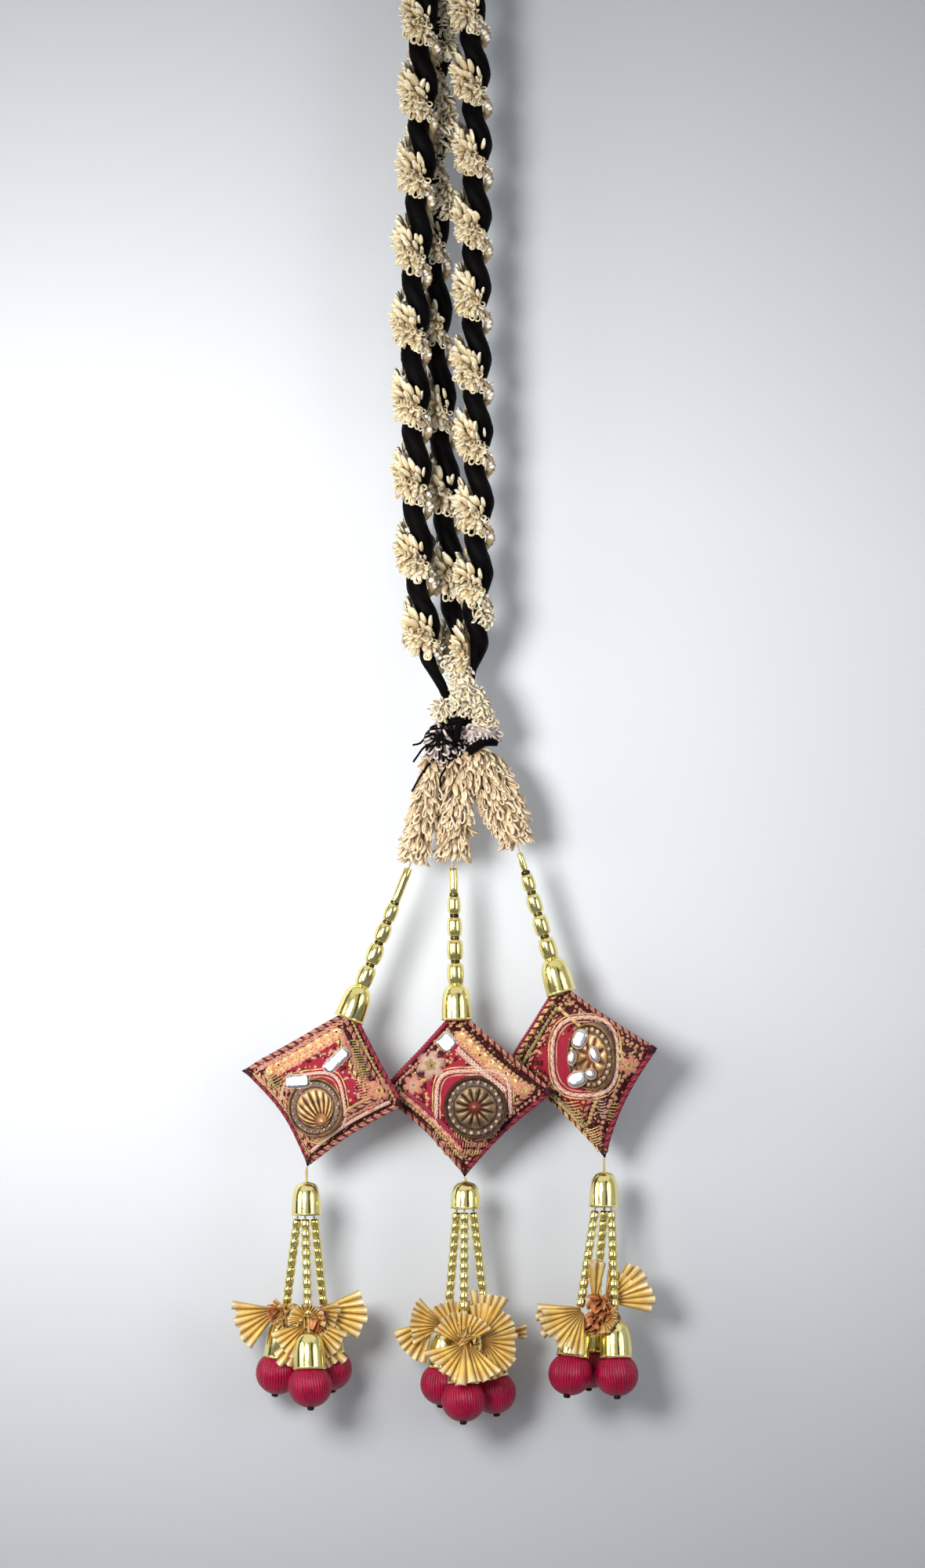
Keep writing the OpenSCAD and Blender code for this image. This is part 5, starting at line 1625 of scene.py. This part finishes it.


# Stage: a pale floor that bends up into a wall just behind the piece, its colour a painted pool of light,
# lights and a dark card for the metal
stageMake = {
    "wall": 23.0, "floor": -640.0, "bend": 60.0, "half": 1600.0, "front": -1800.0, "top": 900.0,
    # name, place, what it points at, size, power, colour, spread in degrees
    "lights": (
        ("key", (-0.25, -0.62, -0.27), (-0.1, 0, -0.28), 0.24, 0.98, (1.0, 0.99, 0.97), 74),
        ("side", (-0.6, -0.35, -0.3), (0, 0, -0.3), 0.4, 0.42, (1.0, 1.0, 1.0), 120),
        ("fill", (0.6, -0.62, -0.25), (0, 0, -0.3), 0.5, 0.44, (0.94, 0.97, 1.0), 100)),
    "room": ((0.94, 0.955, 1.0, 1), 0.46),
    # dark cards that only metal sees: x and y of one upright side, x and y of the other
    "cards": ((0.55, -2.1, 2.1, -2.1), (-1.2, -0.32, -1.2, -0.03)), "cardHeights": (-1.6, 1.2),
    # a pale ceiling that only metal sees: half width, front, back, height and brightness
    "ceiling": (2.0, -2.4, -0.05, 1.3, 0.8),
    # the wall's colour is a painted pool of light: palest within the first distance of a middle, and darker,
    # painted shade, from the second on; x counts less
    "pale": (210, 213, 217), "paintedShadeGrey": (176, 179, 183), "paintedLightMiddle": (-0.03, 0, -0.31),
    "paintedLightReach": (0.1, 0.3), "acrossShare": 0.4}


def standStage(name, points, cells, material, smooth=False, unseen=True):
    # A plain mesh, in metres, for the stage; only metal sees it where it is unseen.
    mesh = bpy.data.meshes.new(name)
    mesh.from_pydata(points, [], cells)
    mesh.polygons.foreach_set("use_smooth", np.full(len(cells), smooth))
    mesh.materials.append(material)
    thing = bpy.data.objects.new(name, mesh)
    if unseen:
        thing.visible_camera = thing.visible_diffuse = thing.visible_shadow = False
    scene.collection.objects.link(thing)


def makeWall():
    # The backdrop is clear from behind, so that the piece's back can be seen.
    made = stageMake
    a = np.linspace(0, math.pi / 2, 12)
    wall, floor, bend = made["wall"], made["floor"], made["bend"]
    y = np.concatenate([[made["front"]], wall - bend + bend * np.sin(a), [wall]])
    z = np.concatenate([[floor], floor + bend * (1 - np.cos(a)), [made["top"]]])
    x = np.array([-made["half"], made["half"]])
    points, cells, _ = gridPart(np.stack(np.broadcast_arrays(x[None, :], y[:, None], z[:, None]), -1))
    material, tree, shader = plainMaterial("paintedLightWall")
    away = addNode(tree, "ShaderNodeTexCoord").outputs["Object"]
    for operation, by in (("SUBTRACT", made["paintedLightMiddle"]), ("MULTIPLY", (made["acrossShare"], 0, 1))):
        away = addNode(tree, "ShaderNodeVectorMath", {0: away, 1: by}, operation=operation).outputs[0]
    away = addNode(tree, "ShaderNodeVectorMath", {0: away}, operation="LENGTH").outputs["Value"]
    # The colour is a painted pool of light, palest near its middle and darker further off.
    colour = mixed(tree, ramped(tree, away, *made["paintedLightReach"]), linear(*made["pale"]), linear(*made["paintedShadeGrey"]))
    fill(tree, shader, {"Base Color": colour, "Roughness": 0.9})
    clear = addNode(tree, "ShaderNodeBsdfTransparent")
    behind = addNode(tree, "ShaderNodeNewGeometry").outputs["Backfacing"]
    both = addNode(tree, "ShaderNodeMixShader", {0: behind, 1: shader.outputs[0], 2: clear.outputs[0]})
    tree.links.new(both.outputs[0], tree.nodes["Material Output"].inputs[0])
    standStage("backdrop", (points * mm).tolist(), cells.tolist(), material, smooth=True, unseen=False)


def makeCards():
    # Two upright dark cards, and a glowing ceiling.
    low, high = stageMake["cardHeights"]
    corners = [(*side, z) for card in stageMake["cards"] for side, z in (
        (card[:2], low), (card[2:], low), (card[2:], high), (card[:2], high))]
    material, tree, shader = plainMaterial("darkCard")
    fill(tree, shader, {"Base Color": (0.01, 0.01, 0.01, 1)})
    standStage("dark_cards", corners, [(3, 2, 1, 0), (7, 6, 5, 4)], material)
    half, front, back, height, brightness = stageMake["ceiling"]
    corners = [(x, y, height) for x, y in ((-half, front), (-half, back), (half, back), (half, front))]
    material, tree, shader = plainMaterial("ceilingGlow")
    fill(tree, shader, {
        "Base Color": (0, 0, 0, 1), "Emission Color": (1, 1, 1, 1), "Emission Strength": brightness})
    standStage("ceiling", corners, [(0, 1, 2, 3)], material)


def makeLight(name, place, target, size, energy, colour, spread):
    data = bpy.data.lights.new(name, "AREA")
    data.shape = "DISK"
    data.size = size
    data.energy = energy
    data.color = colour
    data.spread = math.radians(spread)
    light = bpy.data.objects.new(name, data)
    light.location = place
    light.rotation_euler = (Vector(place) - Vector(target)).to_track_quat("Z", "Y").to_euler()
    scene.collection.objects.link(light)


makeWall()
makeCards()
for light in stageMake["lights"]:
    makeLight(*light)
world = bpy.data.worlds.new("room")
world.use_nodes = True
colour, strength = stageMake["room"]
world.node_tree.nodes["Background"].inputs[0].default_value = colour
world.node_tree.nodes["Background"].inputs[1].default_value = strength
scene.world = world
scene.view_settings.view_transform = "Standard"
print("stage ready")
